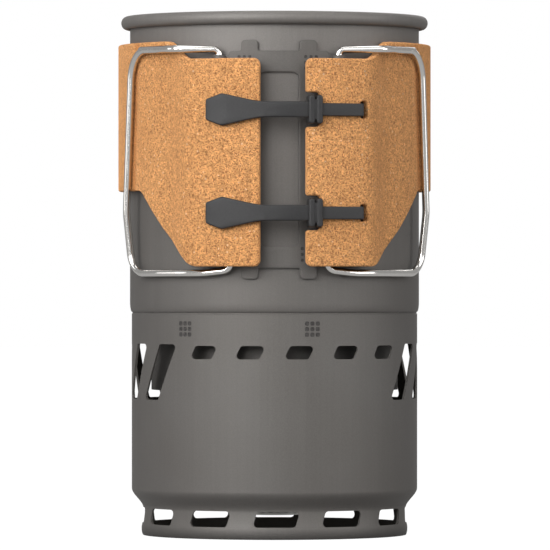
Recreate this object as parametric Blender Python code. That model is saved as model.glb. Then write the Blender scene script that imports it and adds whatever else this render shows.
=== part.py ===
"""Integrated canister stove: an anodised pot with a cork sleeve and two wire handles, which lifts off a
vented windscreen that holds the gas burner. Metres, +Z up, origin on the pot's axis at the resting plane,
front (hinge bracket and straps) towards -Y. Angles are measured from the front, positive towards +X."""

import math

import bmesh
import bpy
from mathutils import Matrix, Vector

# Clearances
SEAT_GAP = 0.0003
RUNNING_GAP = 0.0004
LIFT_GAP = 0.0007

# How far a cutter runs past the face that it opens
PAST = 0.001

# Segments of the turned pieces
LARGE_STEPS = 48
HIDDEN_STEPS = 40
MEDIUM_STEPS = 24
SMALL_STEPS = 12
HEX_STEPS = 6
CORNER_STEPS = 3

# Pot
POT_RADIUS = 0.0560
POT_WALL = 0.0010
POT_FLOOR = 0.0012
POT_HEIGHT = 0.1143
POT_BOTTOM_RADIUS = 0.0038
POT_BOTTOM_DRAW_IN = 0.0008
RIM_WIDTH = 0.0044
RIM_HEIGHT = 0.0050
FIN_DEPTH = 0.0118
FIN_THICKNESS = 0.0005
FIN_COUNT = 24
FIN_HEIGHT = 0.0100
FIN_BAND_WALL = 0.0006

# Windscreen
SCREEN_STEP = 0.0007
SCREEN_WALL = 0.0008
SCREEN_HEIGHT = 0.0857
SEAM_GAP = 0.0005
NECK_DRAW_IN = 0.0045
NECK_TOP = 0.0103
SHOULDER_HEIGHT = 0.0078
FOOT_BEAD = 0.0007
FOOT_BEAD_HEIGHT = 0.0050
FOOT_LAND = 0.0012
BASE_VENT_COUNT = 12
BASE_VENT_WIDTH = 0.0157
BASE_VENT_HEIGHT = 0.0061
BASE_VENT_BOTTOM = 0.0046
BASE_VENT_LEAN = 0.0019
BASE_VENT_CORNER = 0.0014
VENT_SLANT = math.radians(27)
VENT_PITCH = math.radians(19.57)
VENT_COUNT = 5
# The rear vents stand between the front ones, so that no line of sight passes through both.
REAR_VENT_COUNT = 4
VENT_CENTRE = math.radians(9.5)
VENT_WIDTH = 0.0077
VENT_HEIGHT = 0.0053
VENT_CORNER = 0.0012
SLOT_COUNT = 4
SLOT_WIDTH = 0.0080
SLOT_HEIGHT = 0.0212
SLOTS_BELOW_TOP = 0.0117

# Seat ring in the windscreen that carries the pot
SEAT_WALL = 0.0008
SEAT_SHELF_DEPTH = 0.0050
SEAT_BELOW_TOP = 0.0103
SEAT_LIP_BELOW_TOP = 0.0017

# Hinge bracket on the pot's front
BRACKET_WALL = 0.0010
BRACKET_ABOVE_BASE = 0.0169
BRACKET_BELOW_TOP = 0.0151
BAR_HEIGHT = 0.0080
RAIL_INNER = 0.0075
RAIL_OUTER = 0.0150
TAB_INNER = 0.0080
TAB_OUTER = 0.0145
TAB_HEIGHT = 0.0041
WING_HEIGHT = 0.0050
HIGH_WING_HEIGHT = 0.0064
EAR_OUTER = 0.0195
BRACKET_CORNER = 0.0015
BRACKET_ROOT = 0.0008
RAIL_CORNER = 0.0020
WINDOW_CORNER = 0.0025
HINGE_HIGH_ANGLE = math.radians(22.8)
HINGE_LOW_ANGLE = math.radians(17.9)
KNUCKLE_WALL = 0.0008

# Wire handles
WIRE_RADIUS = 0.0014
GRIP_HIGH_ANGLE = math.radians(63.0)
GRIP_LOW_ANGLE = math.radians(67.6)
ARM_ABOVE_BRACKET = 0.0008
ARM_BELOW_BRACKET = 0.0019
TOP_CORNER = 0.0120
LOW_CORNER = 0.0050
LEG_BEND = 0.0020
HIGH_LEG_DROP = 0.0004
LOW_LEG_BEND = 0.0036
LOW_LEG_LIFT = 0.0012
ARM_BEND = 0.0300
GRIP_EASE = 0.0230
ARM_EASE = 0.0009
LOW_ARM_STAND_OFF = 0.0014
LEG_INSET = 0.0010
HANDLE_SWING_CLEARANCE = 0.0003

# Cork sleeve
CORK_SIDE_WALL = 0.0042
CORK_FLAP_WALL = 0.0038
CORK_LEFT_EDGE = math.radians(6.6)
CORK_RIGHT_EDGE = math.radians(9.0)
CORK_BLEND_START = math.radians(31)
CORK_BLEND_END = math.radians(44)
FLAP_ABOVE_BRACKET = 0.0006
FLAP_BELOW_BRACKET = 0.0030
CORK_STEP_START = math.radians(32.5)
CORK_STEP_END = math.radians(44.5)
CORK_STEP = 0.0070
CORK_SLOPE = ((33.4, 0, 0.004), (48.6, 0.0143, 0), (62.0, 0.0290, 0.004))
CORK_SLOPE_SHIFT = 2.1
CORK_CORNER = 0.0025
CORK_EDGE = 0.0008
CORK_SLICE = math.radians(5)

# Silicone straps
STRAP_SPACING = 0.0390
STRAP_LIFT = 0.0004
STRAP_WALL = 0.0022
STRAP_EDGE = 0.0005
HEAD_END_X = -0.0272
HEAD_WIDE_X = -0.0214
NECK_START_X = -0.0076
COLLAR_START_X = 0.0105
COLLAR_MIDDLE_X = 0.0131
COLLAR_END_X = 0.0157
TAIL_END_X = 0.0309
SLOT_END_X = 0.0332
HEAD_END_HEIGHT = 0.0078
HEAD_HEIGHT = 0.0123
NECK_HEIGHT = 0.0060
COLLAR_HEIGHT = 0.0109
COLLAR_PROUD = 0.0008
COLLAR_DEPTH = 0.0030
TAIL_HEIGHT = 0.0048
TAIL_WALL = 0.0017
HOOK_WALL = 0.0010
SMALL_CORNER = 0.0003
HEAD_CORNER = 0.0010
NECK_EASE = 0.0300
NOTCH_HEIGHT = 0.0131
NOTCH_CORNER = 0.0020
STRAP_SLOT_HEIGHT = 0.0066
STRAP_SLOT_WIDTH = 0.0023
PEG_X = -0.0190
PEG_RADIUS = 0.0020
PEG_HOLE_GAP = 0.0010
PEG_DEPTH = 0.0022

# Burner and gas valve
PLATE_WALL = 0.0008
PLATE_ABOVE_SHOULDER = 0.0021
PLATE_RIM_DROP = 0.0030
PLATE_RIM_WIDTH = 0.0035
PLATE_HOLES = 8
PLATE_HOLE_RADIUS = 0.0055
PLATE_HOLE_CIRCLE = 0.0360
VALVE_RADIUS = 0.0094
VALVE_ABOVE_PLATE = 0.0095
VALVE_FLANGE_RADIUS = 0.0160
VALVE_FLANGE = 0.0018
VALVE_BELOW_FLANGE = 0.0030
VALVE_SPIGOT_RADIUS = 0.0030
VALVE_SPIGOT = 0.0030
SCREW_CIRCLE = 0.0130
SCREW_COUNT = 3
SCREW_RADIUS = 0.0012
SCREW_HEAD_RADIUS = 0.0024
SCREW_HEAD = 0.0016
COLLAR_RADIUS = 0.0110
COLLAR_BORE = 0.0056
COLLAR_LENGTH = 0.0062
COLLAR_LEAD_IN = 0.0006
SEAL_RADIUS = 0.0009
JET_RADIUS = 0.0034
JET_HEIGHT = 0.0030
JET_SHANK_RADIUS = 0.0017
JET_SHANK = 0.0025
MIXER_RADIUS = 0.0058
MIXER_WALL = 0.0008
MIXER_HEIGHT = 0.0190
MIXER_WINDOW_WIDTH = 0.0040
MIXER_WINDOW_HEIGHT = 0.0070
MIXER_WINDOW_LIFT = 0.0018
HEAD_RADIUS = 0.0255
HEAD_WALL = 0.0010
HEAD_SLEEVE = 0.0060
HEAD_CONE = 0.0040
HEAD_CUP = 0.0058
MESH_WALL = 0.0008
MESH_BELOW_LIP = 0.0010
MESH_HOLE_RADIUS = 0.0018
MESH_RINGS = ((6, 0.0080), (12, 0.0170))

# Gas control at the rear
SPINDLE_ABOVE_PLATE = 0.0048
SPINDLE_RADIUS = 0.0020
SPINDLE_DEPTH = 0.0060
NUT_RADIUS = 0.0044
NUT_LENGTH = 0.0038
KNOB_RADIUS = 0.0085
KNOB_LENGTH = 0.0108
KNOB_FLUTES = 12
KNOB_FLUTE_RADIUS = 0.0014
KNOB_FLUTE_SHIFT = 0.0004
KNOB_EDGE = 0.0010
KNOB_SOCKET = 0.0060
SCREEN_HOLE_GAP = 0.0010

# Piezo igniter
IGNITER_ANGLE = math.radians(140)
IGNITER_Z = 0.0345
IGNITER_RADIUS = 0.0044
IGNITER_LENGTH = 0.0256
IGNITER_FLANGE_RADIUS = 0.0070
IGNITER_FLANGE = 0.0015
IGNITER_NUT = 0.0037
BUTTON_RADIUS = 0.0034
BUTTON_PROUD = 0.0045
BUTTON_TRAVEL = 0.0040
BUTTON_STEM = 0.0040
ELECTRODE_ANGLE = math.radians(108)
ELECTRODE_STAND_OFF = 0.0016
INSULATOR_RADIUS = 0.0018
INSULATOR_HEIGHT = 0.0365
INSULATOR_COLLAR_RADIUS = 0.0030
INSULATOR_COLLAR = 0.0020
INSULATOR_ROOT = 0.0020
ELECTRODE_RADIUS = 0.0006
ELECTRODE_RISE = 0.0042
ELECTRODE_REACH = 0.0060
LEAD_RADIUS = 0.0009
LEAD_LIFT = 0.0050

# Values that follow from those above
SCREEN_RADIUS = POT_RADIUS - SCREEN_STEP
SCREEN_INNER = SCREEN_RADIUS - SCREEN_WALL
NECK_RADIUS = SCREEN_RADIUS - NECK_DRAW_IN
SHOULDER_TOP = NECK_TOP + SHOULDER_HEIGHT
POT_BASE = SCREEN_HEIGHT + SEAM_GAP
POT_TOP = POT_BASE + POT_HEIGHT
SEAT_OUTER = SCREEN_INNER - SEAT_GAP
SEAT_INNER = SEAT_OUTER - SEAT_WALL
SEAT_TOP = SCREEN_HEIGHT - SEAT_BELOW_TOP
FIN_BAND_OUTER = SEAT_INNER - LIFT_GAP
FIN_OUTER = FIN_BAND_OUTER - FIN_BAND_WALL - SEAT_GAP
BRACKET_INNER = POT_RADIUS + SEAT_GAP
BRACKET_OUTER = BRACKET_INNER + BRACKET_WALL
BRACKET_LOW = POT_BASE + BRACKET_ABOVE_BASE
BRACKET_HIGH = POT_TOP - BRACKET_BELOW_TOP
KNUCKLE_BORE = WIRE_RADIUS + HANDLE_SWING_CLEARANCE
KNUCKLE_RADIUS = KNUCKLE_BORE + KNUCKLE_WALL
HINGE_RADIUS = BRACKET_INNER + KNUCKLE_RADIUS
CORK_SIDE_INNER = POT_RADIUS + SEAT_GAP
CORK_SIDE_OUTER = CORK_SIDE_INNER + CORK_SIDE_WALL
CORK_FLAP_INNER = HINGE_RADIUS + KNUCKLE_RADIUS + SEAT_GAP
CORK_FLAP_OUTER = CORK_FLAP_INNER + CORK_FLAP_WALL
FLAP_LOW = BRACKET_LOW + FLAP_ABOVE_BRACKET
FLAP_HIGH = BRACKET_HIGH - FLAP_BELOW_BRACKET
FLAP_MIDDLE = (FLAP_LOW + FLAP_HIGH) / 2
ARM_HIGH = BRACKET_HIGH + ARM_ABOVE_BRACKET
ARM_LOW = BRACKET_LOW - ARM_BELOW_BRACKET
STRAP_INNER = CORK_FLAP_OUTER + SEAT_GAP
STRAP_OUTER = STRAP_INNER + STRAP_WALL
COLLAR_OUTER = STRAP_OUTER + COLLAR_PROUD
PLATE_TOP = SHOULDER_TOP + PLATE_ABOVE_SHOULDER
PLATE_LOW = PLATE_TOP - PLATE_WALL
VALVE_TOP = PLATE_TOP + VALVE_ABOVE_PLATE
FLANGE_TOP = PLATE_LOW - SEAT_GAP
FLANGE_LOW = FLANGE_TOP - VALVE_FLANGE
VALVE_LOW = FLANGE_LOW - VALVE_BELOW_FLANGE
SPINDLE_Z = PLATE_TOP + SPINDLE_ABOVE_PLATE
MIXER_LOW = VALVE_TOP + SEAT_GAP
MIXER_TOP = MIXER_LOW + MIXER_HEIGHT
HEAD_BORE = MIXER_RADIUS + SEAT_GAP
HEAD_LOW = MIXER_TOP - HEAD_SLEEVE + SEAT_GAP
HEAD_CONE_LOW = HEAD_LOW + HEAD_SLEEVE
HEAD_TOP = HEAD_CONE_LOW + HEAD_CONE + HEAD_CUP
ELECTRODE_CIRCLE = HEAD_RADIUS + ELECTRODE_STAND_OFF + INSULATOR_RADIUS
IGNITER_INNER_END = SCREEN_RADIUS - IGNITER_LENGTH


def clear_scene():
    """Removes whatever the scene holds."""
    for item in list(bpy.data.objects):
        bpy.data.objects.remove(item, do_unlink=True)


def finish(name, colour, roughness, metallic):
    """A plain Principled material."""
    material = bpy.data.materials.get(name) or bpy.data.materials.new(name)
    material.use_nodes = True
    shader = material.node_tree.nodes["Principled BSDF"]
    shader.inputs["Base Color"].default_value = (*colour, 1.0)
    shader.inputs["Roughness"].default_value = roughness
    shader.inputs["Metallic"].default_value = metallic
    material.diffuse_color = (*colour, 1.0)
    return material


def anodised():
    return finish("anodised_aluminium", (0.19, 0.18, 0.17), 0.45, 0.6)


def bare_steel():
    return finish("bare_steel", (0.62, 0.61, 0.59), 0.3, 1.0)


def polished_wire():
    return finish("polished_wire", (0.80, 0.79, 0.77), 0.12, 1.0)


def cork():
    return finish("cork", (0.67, 0.36, 0.15), 0.9, 0.0)


def silicone():
    return finish("silicone", (0.055, 0.055, 0.056), 0.6, 0.0)


def black_plastic():
    return finish("black_plastic", (0.03, 0.03, 0.03), 0.5, 0.0)


def yellow_brass():
    return finish("yellow_brass", (0.70, 0.50, 0.22), 0.3, 1.0)


def white_ceramic():
    return finish("white_ceramic", (0.80, 0.78, 0.72), 0.4, 0.0)


def polar(radius, angle, height):
    """The point at an angle from the front, positive towards +X."""
    return Vector((radius * math.sin(angle), -radius * math.cos(angle), height))


def angle_at(x, radius):
    """The angle from the front at which a circle passes x."""
    return math.asin(x / radius)


def smoothstep(value):
    clamped = min(max(value, 0.0), 1.0)
    return clamped * clamped * (3 - 2 * clamped)


def add_object(name, shape, material, origin=(0, 0, 0), crease=math.radians(30)):
    """Makes the object from a bmesh in world coordinates, with its origin where it turns or stands."""
    bmesh.ops.translate(shape, verts=shape.verts, vec=-Vector(origin))
    mesh = bpy.data.meshes.new(name)
    shape.to_mesh(mesh)
    shape.free()
    mesh.materials.append(material)
    mesh.shade_smooth()
    mesh.set_sharp_from_angle(angle=crease)
    made = bpy.data.objects.new(name, mesh)
    made.location = origin
    bpy.context.scene.collection.objects.link(made)
    return made


def rounded(corners, steps=CORNER_STEPS, is_closed=True):
    """The corners (point, radius) as a list of points with each corner turned into an arc."""
    points = []
    count = len(corners)
    for index, (corner, radius) in enumerate(corners):
        corner = Vector(corner)
        is_end = not is_closed and index in (0, count - 1)
        if radius == 0 or is_end:
            points.append(corner)
            continue
        back = (Vector(corners[index - 1][0]) - corner).normalized()
        ahead = (Vector(corners[(index + 1) % count][0]) - corner).normalized()
        spread = back.angle(ahead)
        centre = corner + (back + ahead).normalized() * (radius / math.sin(spread / 2))
        reach = radius / math.tan(spread / 2)
        first = corner + back * reach - centre
        last = corner + ahead * reach - centre
        turn = math.pi - spread
        for step in range(steps + 1):
            share = step / steps
            arm = first * math.sin((1 - share) * turn) + last * math.sin(share * turn)
            points.append(centre + arm / math.sin(turn))
    return points


def turned(profile, steps):
    """A closed (radius, height) profile turned about Z."""
    shape = bmesh.new()
    ring = [shape.verts.new((radius, 0, height)) for radius, height in profile]
    edges = [shape.edges.new((ring[index - 1], ring[index])) for index in range(1, len(ring))]
    if all(radius > 0 for radius, _ in profile):
        edges.append(shape.edges.new((ring[-1], ring[0])))
    full = 2 * math.pi
    bmesh.ops.spin(shape, geom=ring + edges, axis=(0, 0, 1), angle=full, steps=steps, use_merge=True)
    bmesh.ops.remove_doubles(shape, verts=shape.verts, dist=1e-7)
    bmesh.ops.recalc_face_normals(shape, faces=shape.faces)
    return shape


def prism(outline, near, far):
    """A flat outline of (x, z) points, extruded along Y from near to far."""
    shape = bmesh.new()
    face = shape.faces.new([shape.verts.new((point[0], near, point[1])) for point in outline])
    grown = bmesh.ops.extrude_face_region(shape, geom=[face])
    copied = [item for item in grown["geom"] if isinstance(item, bmesh.types.BMVert)]
    bmesh.ops.translate(shape, verts=copied, vec=(0, far - near, 0))
    bmesh.ops.recalc_face_normals(shape, faces=shape.faces)
    return shape


def chamfer_rim(shape, width):
    """Chamfers the edges round both flat sides of a prism."""
    rim = []
    for edge in shape.edges:
        along = (edge.verts[1].co - edge.verts[0].co).normalized()
        if abs(along.y) < 0.5 and any(abs(face.normal.y) > 0.5 for face in edge.link_faces):
            rim.append(edge)
    bmesh.ops.bevel(shape, geom=rim, offset=width, segments=1, affect="EDGES", clamp_overlap=True)


def slice_across(shape, spacing):
    """Cuts the shape at even steps along X, so that it can be bent."""
    low = min(vertex.co.x for vertex in shape.verts)
    high = max(vertex.co.x for vertex in shape.verts)
    for step in range(math.ceil(low / spacing), math.floor(high / spacing) + 1):
        geometry = list(shape.verts) + list(shape.edges) + list(shape.faces)
        bmesh.ops.bisect_plane(
            shape, geom=geometry, dist=1e-6, plane_co=(step * spacing, 0, 0), plane_no=(1, 0, 0)
        )


def bend(shape, radius_of, scale):
    """Wraps a flat shape round the axis: X becomes the angle, and radius_of turns Y into the radius."""
    for vertex in shape.verts:
        angle = vertex.co.x / scale
        vertex.co = polar(radius_of(angle, vertex.co.y), angle, vertex.co.z)
    bmesh.ops.reverse_faces(shape, faces=shape.faces)


def join(shapes):
    """One bmesh that holds several closed shapes."""
    whole = bmesh.new()
    for shape in shapes:
        mesh = bpy.data.meshes.new("joined")
        shape.to_mesh(mesh)
        shape.free()
        whole.from_mesh(mesh)
        bpy.data.meshes.remove(mesh)
    return whole


def combined(shape, other, operation):
    """The Boolean of two bmeshes."""
    helpers = []
    for part in (shape, other):
        mesh = bpy.data.meshes.new("helper")
        part.to_mesh(mesh)
        part.free()
        helper = bpy.data.objects.new("helper", mesh)
        bpy.context.scene.collection.objects.link(helper)
        helpers.append(helper)
    modifier = helpers[0].modifiers.new("boolean", "BOOLEAN")
    modifier.operation = operation
    modifier.object = helpers[1]
    bpy.context.view_layer.update()
    evaluated = helpers[0].evaluated_get(bpy.context.evaluated_depsgraph_get())
    result = bmesh.new()
    result.from_mesh(evaluated.to_mesh())
    evaluated.to_mesh_clear()
    for helper in helpers:
        mesh = helper.data
        bpy.data.objects.remove(helper, do_unlink=True)
        bpy.data.meshes.remove(mesh)
    bmesh.ops.remove_doubles(result, verts=result.verts, dist=1e-7)
    return result


def carved(shape, cutters):
    return combined(shape, join(cutters), "DIFFERENCE")


def rotated(shape, angle, axis="Z"):
    """Turns a shape about a world axis through the origin."""
    bmesh.ops.transform(shape, matrix=Matrix.Rotation(angle, 4, axis), verts=shape.verts)
    return shape


def moved(shape, offset):
    bmesh.ops.translate(shape, verts=shape.verts, vec=offset)
    return shape


def pointing(shape, angle, height):
    """Lays a shape turned about Z so that its +Z points outwards at an angle from the front."""
    rotated(shape, math.radians(90), "X")
    rotated(shape, angle)
    return moved(shape, (0, 0, height))


def disc(radius, low, high, steps):
    """A plain upright cylinder about Z."""
    return turned([(0, high), (radius, high), (radius, low), (0, low)], steps)


def box(width, depth, low, high):
    """An upright box centred on the axis."""
    half = width / 2
    return prism([(-half, low), (half, low), (half, high), (-half, high)], -depth / 2, depth / 2)


def wire(name, points, radius, material, origin=(0, 0, 0)):
    """A round wire along the points, as a bevelled curve with filled ends."""
    curve = bpy.data.curves.new(name, "CURVE")
    curve.dimensions = "3D"
    curve.bevel_depth = radius
    curve.bevel_resolution = 2
    curve.use_fill_caps = True
    spline = curve.splines.new("POLY")
    spline.points.add(len(points) - 1)
    for target, point in zip(spline.points, points):
        target.co = (*(Vector(point) - Vector(origin)), 1.0)
    spline.use_smooth = True
    curve.materials.append(material)
    made = bpy.data.objects.new(name, curve)
    made.location = origin
    bpy.context.scene.collection.objects.link(made)
    return made


def pot_body():
    """The deep-drawn pot with its rolled rim."""
    inner = POT_RADIUS - POT_WALL
    rim_middle = POT_TOP - RIM_HEIGHT / 2
    rim_centre = inner + RIM_WIDTH / 2
    rim = []
    for step in range(9):
        angle = math.radians(180 - 33 * step)
        across = rim_centre + RIM_WIDTH / 2 * math.cos(angle)
        rim.append((across, rim_middle + RIM_HEIGHT / 2 * math.sin(angle)))
    low = POT_BASE + POT_BOTTOM_RADIUS
    outside = []
    inside = []
    for step in range(4):
        angle = math.radians(30 * step)
        drawn = POT_BOTTOM_DRAW_IN * (1 - math.cos(angle))
        outside.append((POT_RADIUS - drawn, low - POT_BOTTOM_RADIUS * math.sin(angle)))
    floor = POT_BASE + POT_FLOOR
    for step in range(4):
        angle = math.radians(30 * step)
        reach = POT_BOTTOM_RADIUS * (1 - math.sin(angle))
        inside.append((inner - reach, floor + POT_BOTTOM_RADIUS * (1 - math.cos(angle))))
    profile = [(0, POT_BASE)] + outside[::-1] + rim[::-1] + inside[::-1] + [(0, floor)]
    profile[len(outside) + 1:len(outside) + 1] = [(POT_RADIUS, rim[-1][1])]
    add_object("pot_body", turned(profile, LARGE_STEPS), anodised())


def fin_ring():
    """The folded heat-exchanger fins under the pot's floor."""
    top = POT_BASE - SEAT_GAP
    half = FIN_THICKNESS / 2
    crest = FIN_OUTER - half
    root = crest - FIN_DEPTH
    folds = ((0.0, crest, -1), (0.34, crest, 1), (0.5, root, 1), (0.84, root, -1))
    outline = []
    for side in (1, -1):
        loop = []
        for fold in range(FIN_COUNT):
            for share, radius, lean in folds:
                angle = 2 * math.pi * (fold + share) / FIN_COUNT
                loop.append((radius + side * half, angle + side * lean * half / radius))
        outline.append(loop)
    add_object("fin_ring", ribbon(outline, top - FIN_HEIGHT, top), bare_steel())


def ribbon(loops, low, high):
    """A closed ring wall between an outer and an inner loop of (radius, angle) points."""
    shape = bmesh.new()
    rings = []
    for loop in loops:
        for height in (low, high):
            rings.append([shape.verts.new(polar(radius, angle, height)) for radius, angle in loop])
    outer_low, outer_high, inner_low, inner_high = rings
    loops_round = (outer_low, outer_high, inner_high, inner_low)
    for first, second in zip(loops_round, loops_round[1:] + loops_round[:1]):
        for index in range(len(first)):
            shape.faces.new((first[index - 1], first[index], second[index], second[index - 1]))
    bmesh.ops.recalc_face_normals(shape, faces=shape.faces)
    return shape


def fin_band():
    """The band round the fins, which locates the pot in the windscreen."""
    top = POT_BASE - SEAT_GAP
    low = SEAT_TOP + SEAT_GAP
    inner = FIN_BAND_OUTER - FIN_BAND_WALL
    profile = [(inner, top), (FIN_BAND_OUTER, top), (FIN_BAND_OUTER, low), (inner, low)]
    add_object("fin_band", turned(profile, HIDDEN_STEPS), anodised())


def shoulder_radius(height):
    """The windscreen's outer radius at a height of its shoulder."""
    return NECK_RADIUS + NECK_DRAW_IN * smoothstep((height - NECK_TOP) / SHOULDER_HEIGHT)


def screen_profile():
    """The windscreen's wall: straight body, shoulder, neck and rolled foot."""
    body = [(SCREEN_RADIUS, SCREEN_HEIGHT)]
    shoulder = []
    for step in range(6):
        height = SHOULDER_TOP - SHOULDER_HEIGHT * step / 5
        shoulder.append((shoulder_radius(height), height))
    foot_outer = NECK_RADIUS + FOOT_BEAD
    foot_inner = NECK_RADIUS - SCREEN_WALL
    land = foot_inner + FOOT_LAND
    outside = body + shoulder + [
        (NECK_RADIUS, FOOT_BEAD_HEIGHT),
        (foot_outer, 0.74 * FOOT_BEAD_HEIGHT),
        (foot_outer, 0.5 * FOOT_BEAD_HEIGHT),
        ((foot_outer + land) / 2 + 0.15 * (foot_outer - land), 0.12 * FOOT_BEAD_HEIGHT),
        (land, 0),
    ]
    inside = [(foot_inner, 0), (foot_inner, NECK_TOP)]
    inside += [(radius - SCREEN_WALL, height) for radius, height in reversed(shoulder[:-1])]
    return outside + inside + [(SCREEN_INNER, SCREEN_HEIGHT)]


def slanted_hole(width, low, high, shift, corner, radius):
    """A cutter for a leaning slot with rounded corners, through the wall at the front."""
    left_low = -width / 2 - shift / 2
    left_high = -width / 2 + shift / 2
    corners = [
        ((left_low, low), corner),
        ((left_low + width, low), corner),
        ((left_high + width, high), corner),
        ((left_high, high), corner),
    ]
    return prism(rounded(corners, steps=2), -radius * 1.1, -radius * 0.85)


def windscreen():
    """The lower shroud with its vents, slots and the holes for the knob's spindle and the igniter."""
    cutters = []
    for index in range(BASE_VENT_COUNT):
        top = BASE_VENT_BOTTOM + BASE_VENT_HEIGHT
        hole = slanted_hole(
            BASE_VENT_WIDTH, BASE_VENT_BOTTOM, top, BASE_VENT_LEAN, BASE_VENT_CORNER, NECK_RADIUS
        )
        cutters.append(rotated(hole, 2 * math.pi * index / BASE_VENT_COUNT))
    slot_top = SCREEN_HEIGHT - SLOTS_BELOW_TOP
    vent_shift = VENT_HEIGHT * math.tan(VENT_SLANT)
    slot_shift = SLOT_HEIGHT * math.tan(VENT_SLANT)
    for half_turn, count in ((0, VENT_COUNT), (math.pi, REAR_VENT_COUNT)):
        for index in range(count):
            angle = VENT_CENTRE + half_turn + (index - (count - 1) / 2) * VENT_PITCH
            hole = slanted_hole(
                VENT_WIDTH, slot_top - VENT_HEIGHT, slot_top, vent_shift, VENT_CORNER, SCREEN_RADIUS
            )
            cutters.append(rotated(hole, angle - vent_shift / 2 / SCREEN_RADIUS))
        for index in range(SLOT_COUNT):
            angle = VENT_CENTRE + half_turn + (index + 1 + VENT_COUNT // 2) * VENT_PITCH
            hole = slanted_hole(
                SLOT_WIDTH, slot_top - SLOT_HEIGHT, slot_top, slot_shift, VENT_CORNER, SCREEN_RADIUS
            )
            cutters.append(rotated(hole, angle - slot_shift / 2 / SCREEN_RADIUS))
    inside = NECK_RADIUS * 0.9
    outside = SCREEN_RADIUS * 1.1
    spindle_hole = disc(SPINDLE_RADIUS + SCREEN_HOLE_GAP, inside, outside, SMALL_STEPS)
    cutters.append(pointing(spindle_hole, math.pi, SPINDLE_Z))
    igniter_hole = disc(IGNITER_RADIUS + SEAT_GAP, inside, outside, SMALL_STEPS)
    cutters.append(pointing(igniter_hole, IGNITER_ANGLE, IGNITER_Z))
    add_object("windscreen", carved(turned(screen_profile(), LARGE_STEPS), cutters), anodised())


def pot_seat_ring():
    """The Z-section ring welded inside the windscreen, on whose shelf the pot stands."""
    low = SEAT_TOP - SEAT_WALL
    top = SCREEN_HEIGHT - SEAT_LIP_BELOW_TOP
    shelf = SEAT_INNER - SEAT_SHELF_DEPTH
    profile = [
        (SEAT_INNER, top),
        (SEAT_OUTER, top),
        (SEAT_OUTER, low),
        (shelf, low),
        (shelf, SEAT_TOP),
        (SEAT_INNER, SEAT_TOP),
    ]
    add_object("pot_seat_ring", turned(profile, HIDDEN_STEPS), bare_steel())


def hinge_point(side, height):
    """The point of a handle's hinge axis at a height. The axis leans outwards towards its top."""
    low = polar(HINGE_RADIUS, side * HINGE_LOW_ANGLE, BRACKET_LOW)
    high = polar(HINGE_RADIUS, side * HINGE_HIGH_ANGLE, BRACKET_HIGH)
    return low.lerp(high, (height - BRACKET_LOW) / (BRACKET_HIGH - BRACKET_LOW))


def hinge_angle(height):
    """The angle from the front at which the right hinge's axis passes a height."""
    place = hinge_point(1, height)
    return math.atan2(place.x, -place.y)


def on_hinge(shape, side):
    """Leans an upright shape about Z along a hinge's axis."""
    for vertex in shape.verts:
        place = hinge_point(side, vertex.co.z)
        vertex.co += Vector((place.x, place.y, 0))
    return shape


def hinge_bracket():
    """The sheet frame on the pot's front, with four tabs and four rolled knuckles."""
    low_wing = BRACKET_LOW + BAR_HEIGHT - WING_HEIGHT
    high_wing = BRACKET_HIGH - BAR_HEIGHT + HIGH_WING_HEIGHT
    low_bar = BRACKET_LOW + BAR_HEIGHT
    high_bar = BRACKET_HIGH - BAR_HEIGHT
    right = [
        ((TAB_INNER, BRACKET_LOW), BRACKET_ROOT),
        ((TAB_INNER, BRACKET_LOW - TAB_HEIGHT), BRACKET_CORNER),
        ((TAB_OUTER, BRACKET_LOW - TAB_HEIGHT), BRACKET_CORNER),
        ((TAB_OUTER, low_wing), BRACKET_ROOT),
        ((BRACKET_OUTER * hinge_angle(low_wing), low_wing), 0),
        ((BRACKET_OUTER * hinge_angle(low_bar), low_bar), 0),
        ((RAIL_OUTER, low_bar), BRACKET_ROOT),
        ((RAIL_OUTER, high_bar), RAIL_CORNER),
        ((BRACKET_OUTER * hinge_angle(high_bar), high_bar), 0),
        ((BRACKET_OUTER * hinge_angle(high_wing), high_wing), 0),
        ((EAR_OUTER, high_wing), 0),
        ((EAR_OUTER, BRACKET_HIGH), BRACKET_CORNER),
        ((TAB_OUTER, BRACKET_HIGH), BRACKET_ROOT),
        ((TAB_OUTER, BRACKET_HIGH + TAB_HEIGHT), BRACKET_CORNER),
        ((TAB_INNER, BRACKET_HIGH + TAB_HEIGHT), BRACKET_CORNER),
        ((TAB_INNER, BRACKET_HIGH), BRACKET_ROOT),
    ]
    left = [((-x, z), radius) for (x, z), radius in reversed(right)]
    plate = prism(rounded(right + left), 0, BRACKET_WALL)
    window = rounded([
        ((-RAIL_INNER, low_bar), WINDOW_CORNER),
        ((RAIL_INNER, low_bar), WINDOW_CORNER),
        ((RAIL_INNER, high_bar), WINDOW_CORNER),
        ((-RAIL_INNER, high_bar), WINDOW_CORNER),
    ])
    plate = carved(plate, [prism(window, -BRACKET_WALL, 2 * BRACKET_WALL)])
    slice_across(plate, BRACKET_OUTER * math.radians(5))
    bend(plate, lambda angle, out: BRACKET_INNER + out, BRACKET_OUTER)
    for side in (-1, 1):
        for low, high in ((low_wing, low_bar), (high_bar, high_wing)):
            knuckle = disc(KNUCKLE_RADIUS, low, high, SMALL_STEPS)
            plate = combined(plate, on_hinge(knuckle, side), "UNION")
            bore = disc(KNUCKLE_BORE, low - WING_HEIGHT, high + WING_HEIGHT, SMALL_STEPS)
            plate = carved(plate, [on_hinge(bore, side)])
    add_object("hinge_bracket", plate, anodised())


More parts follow.
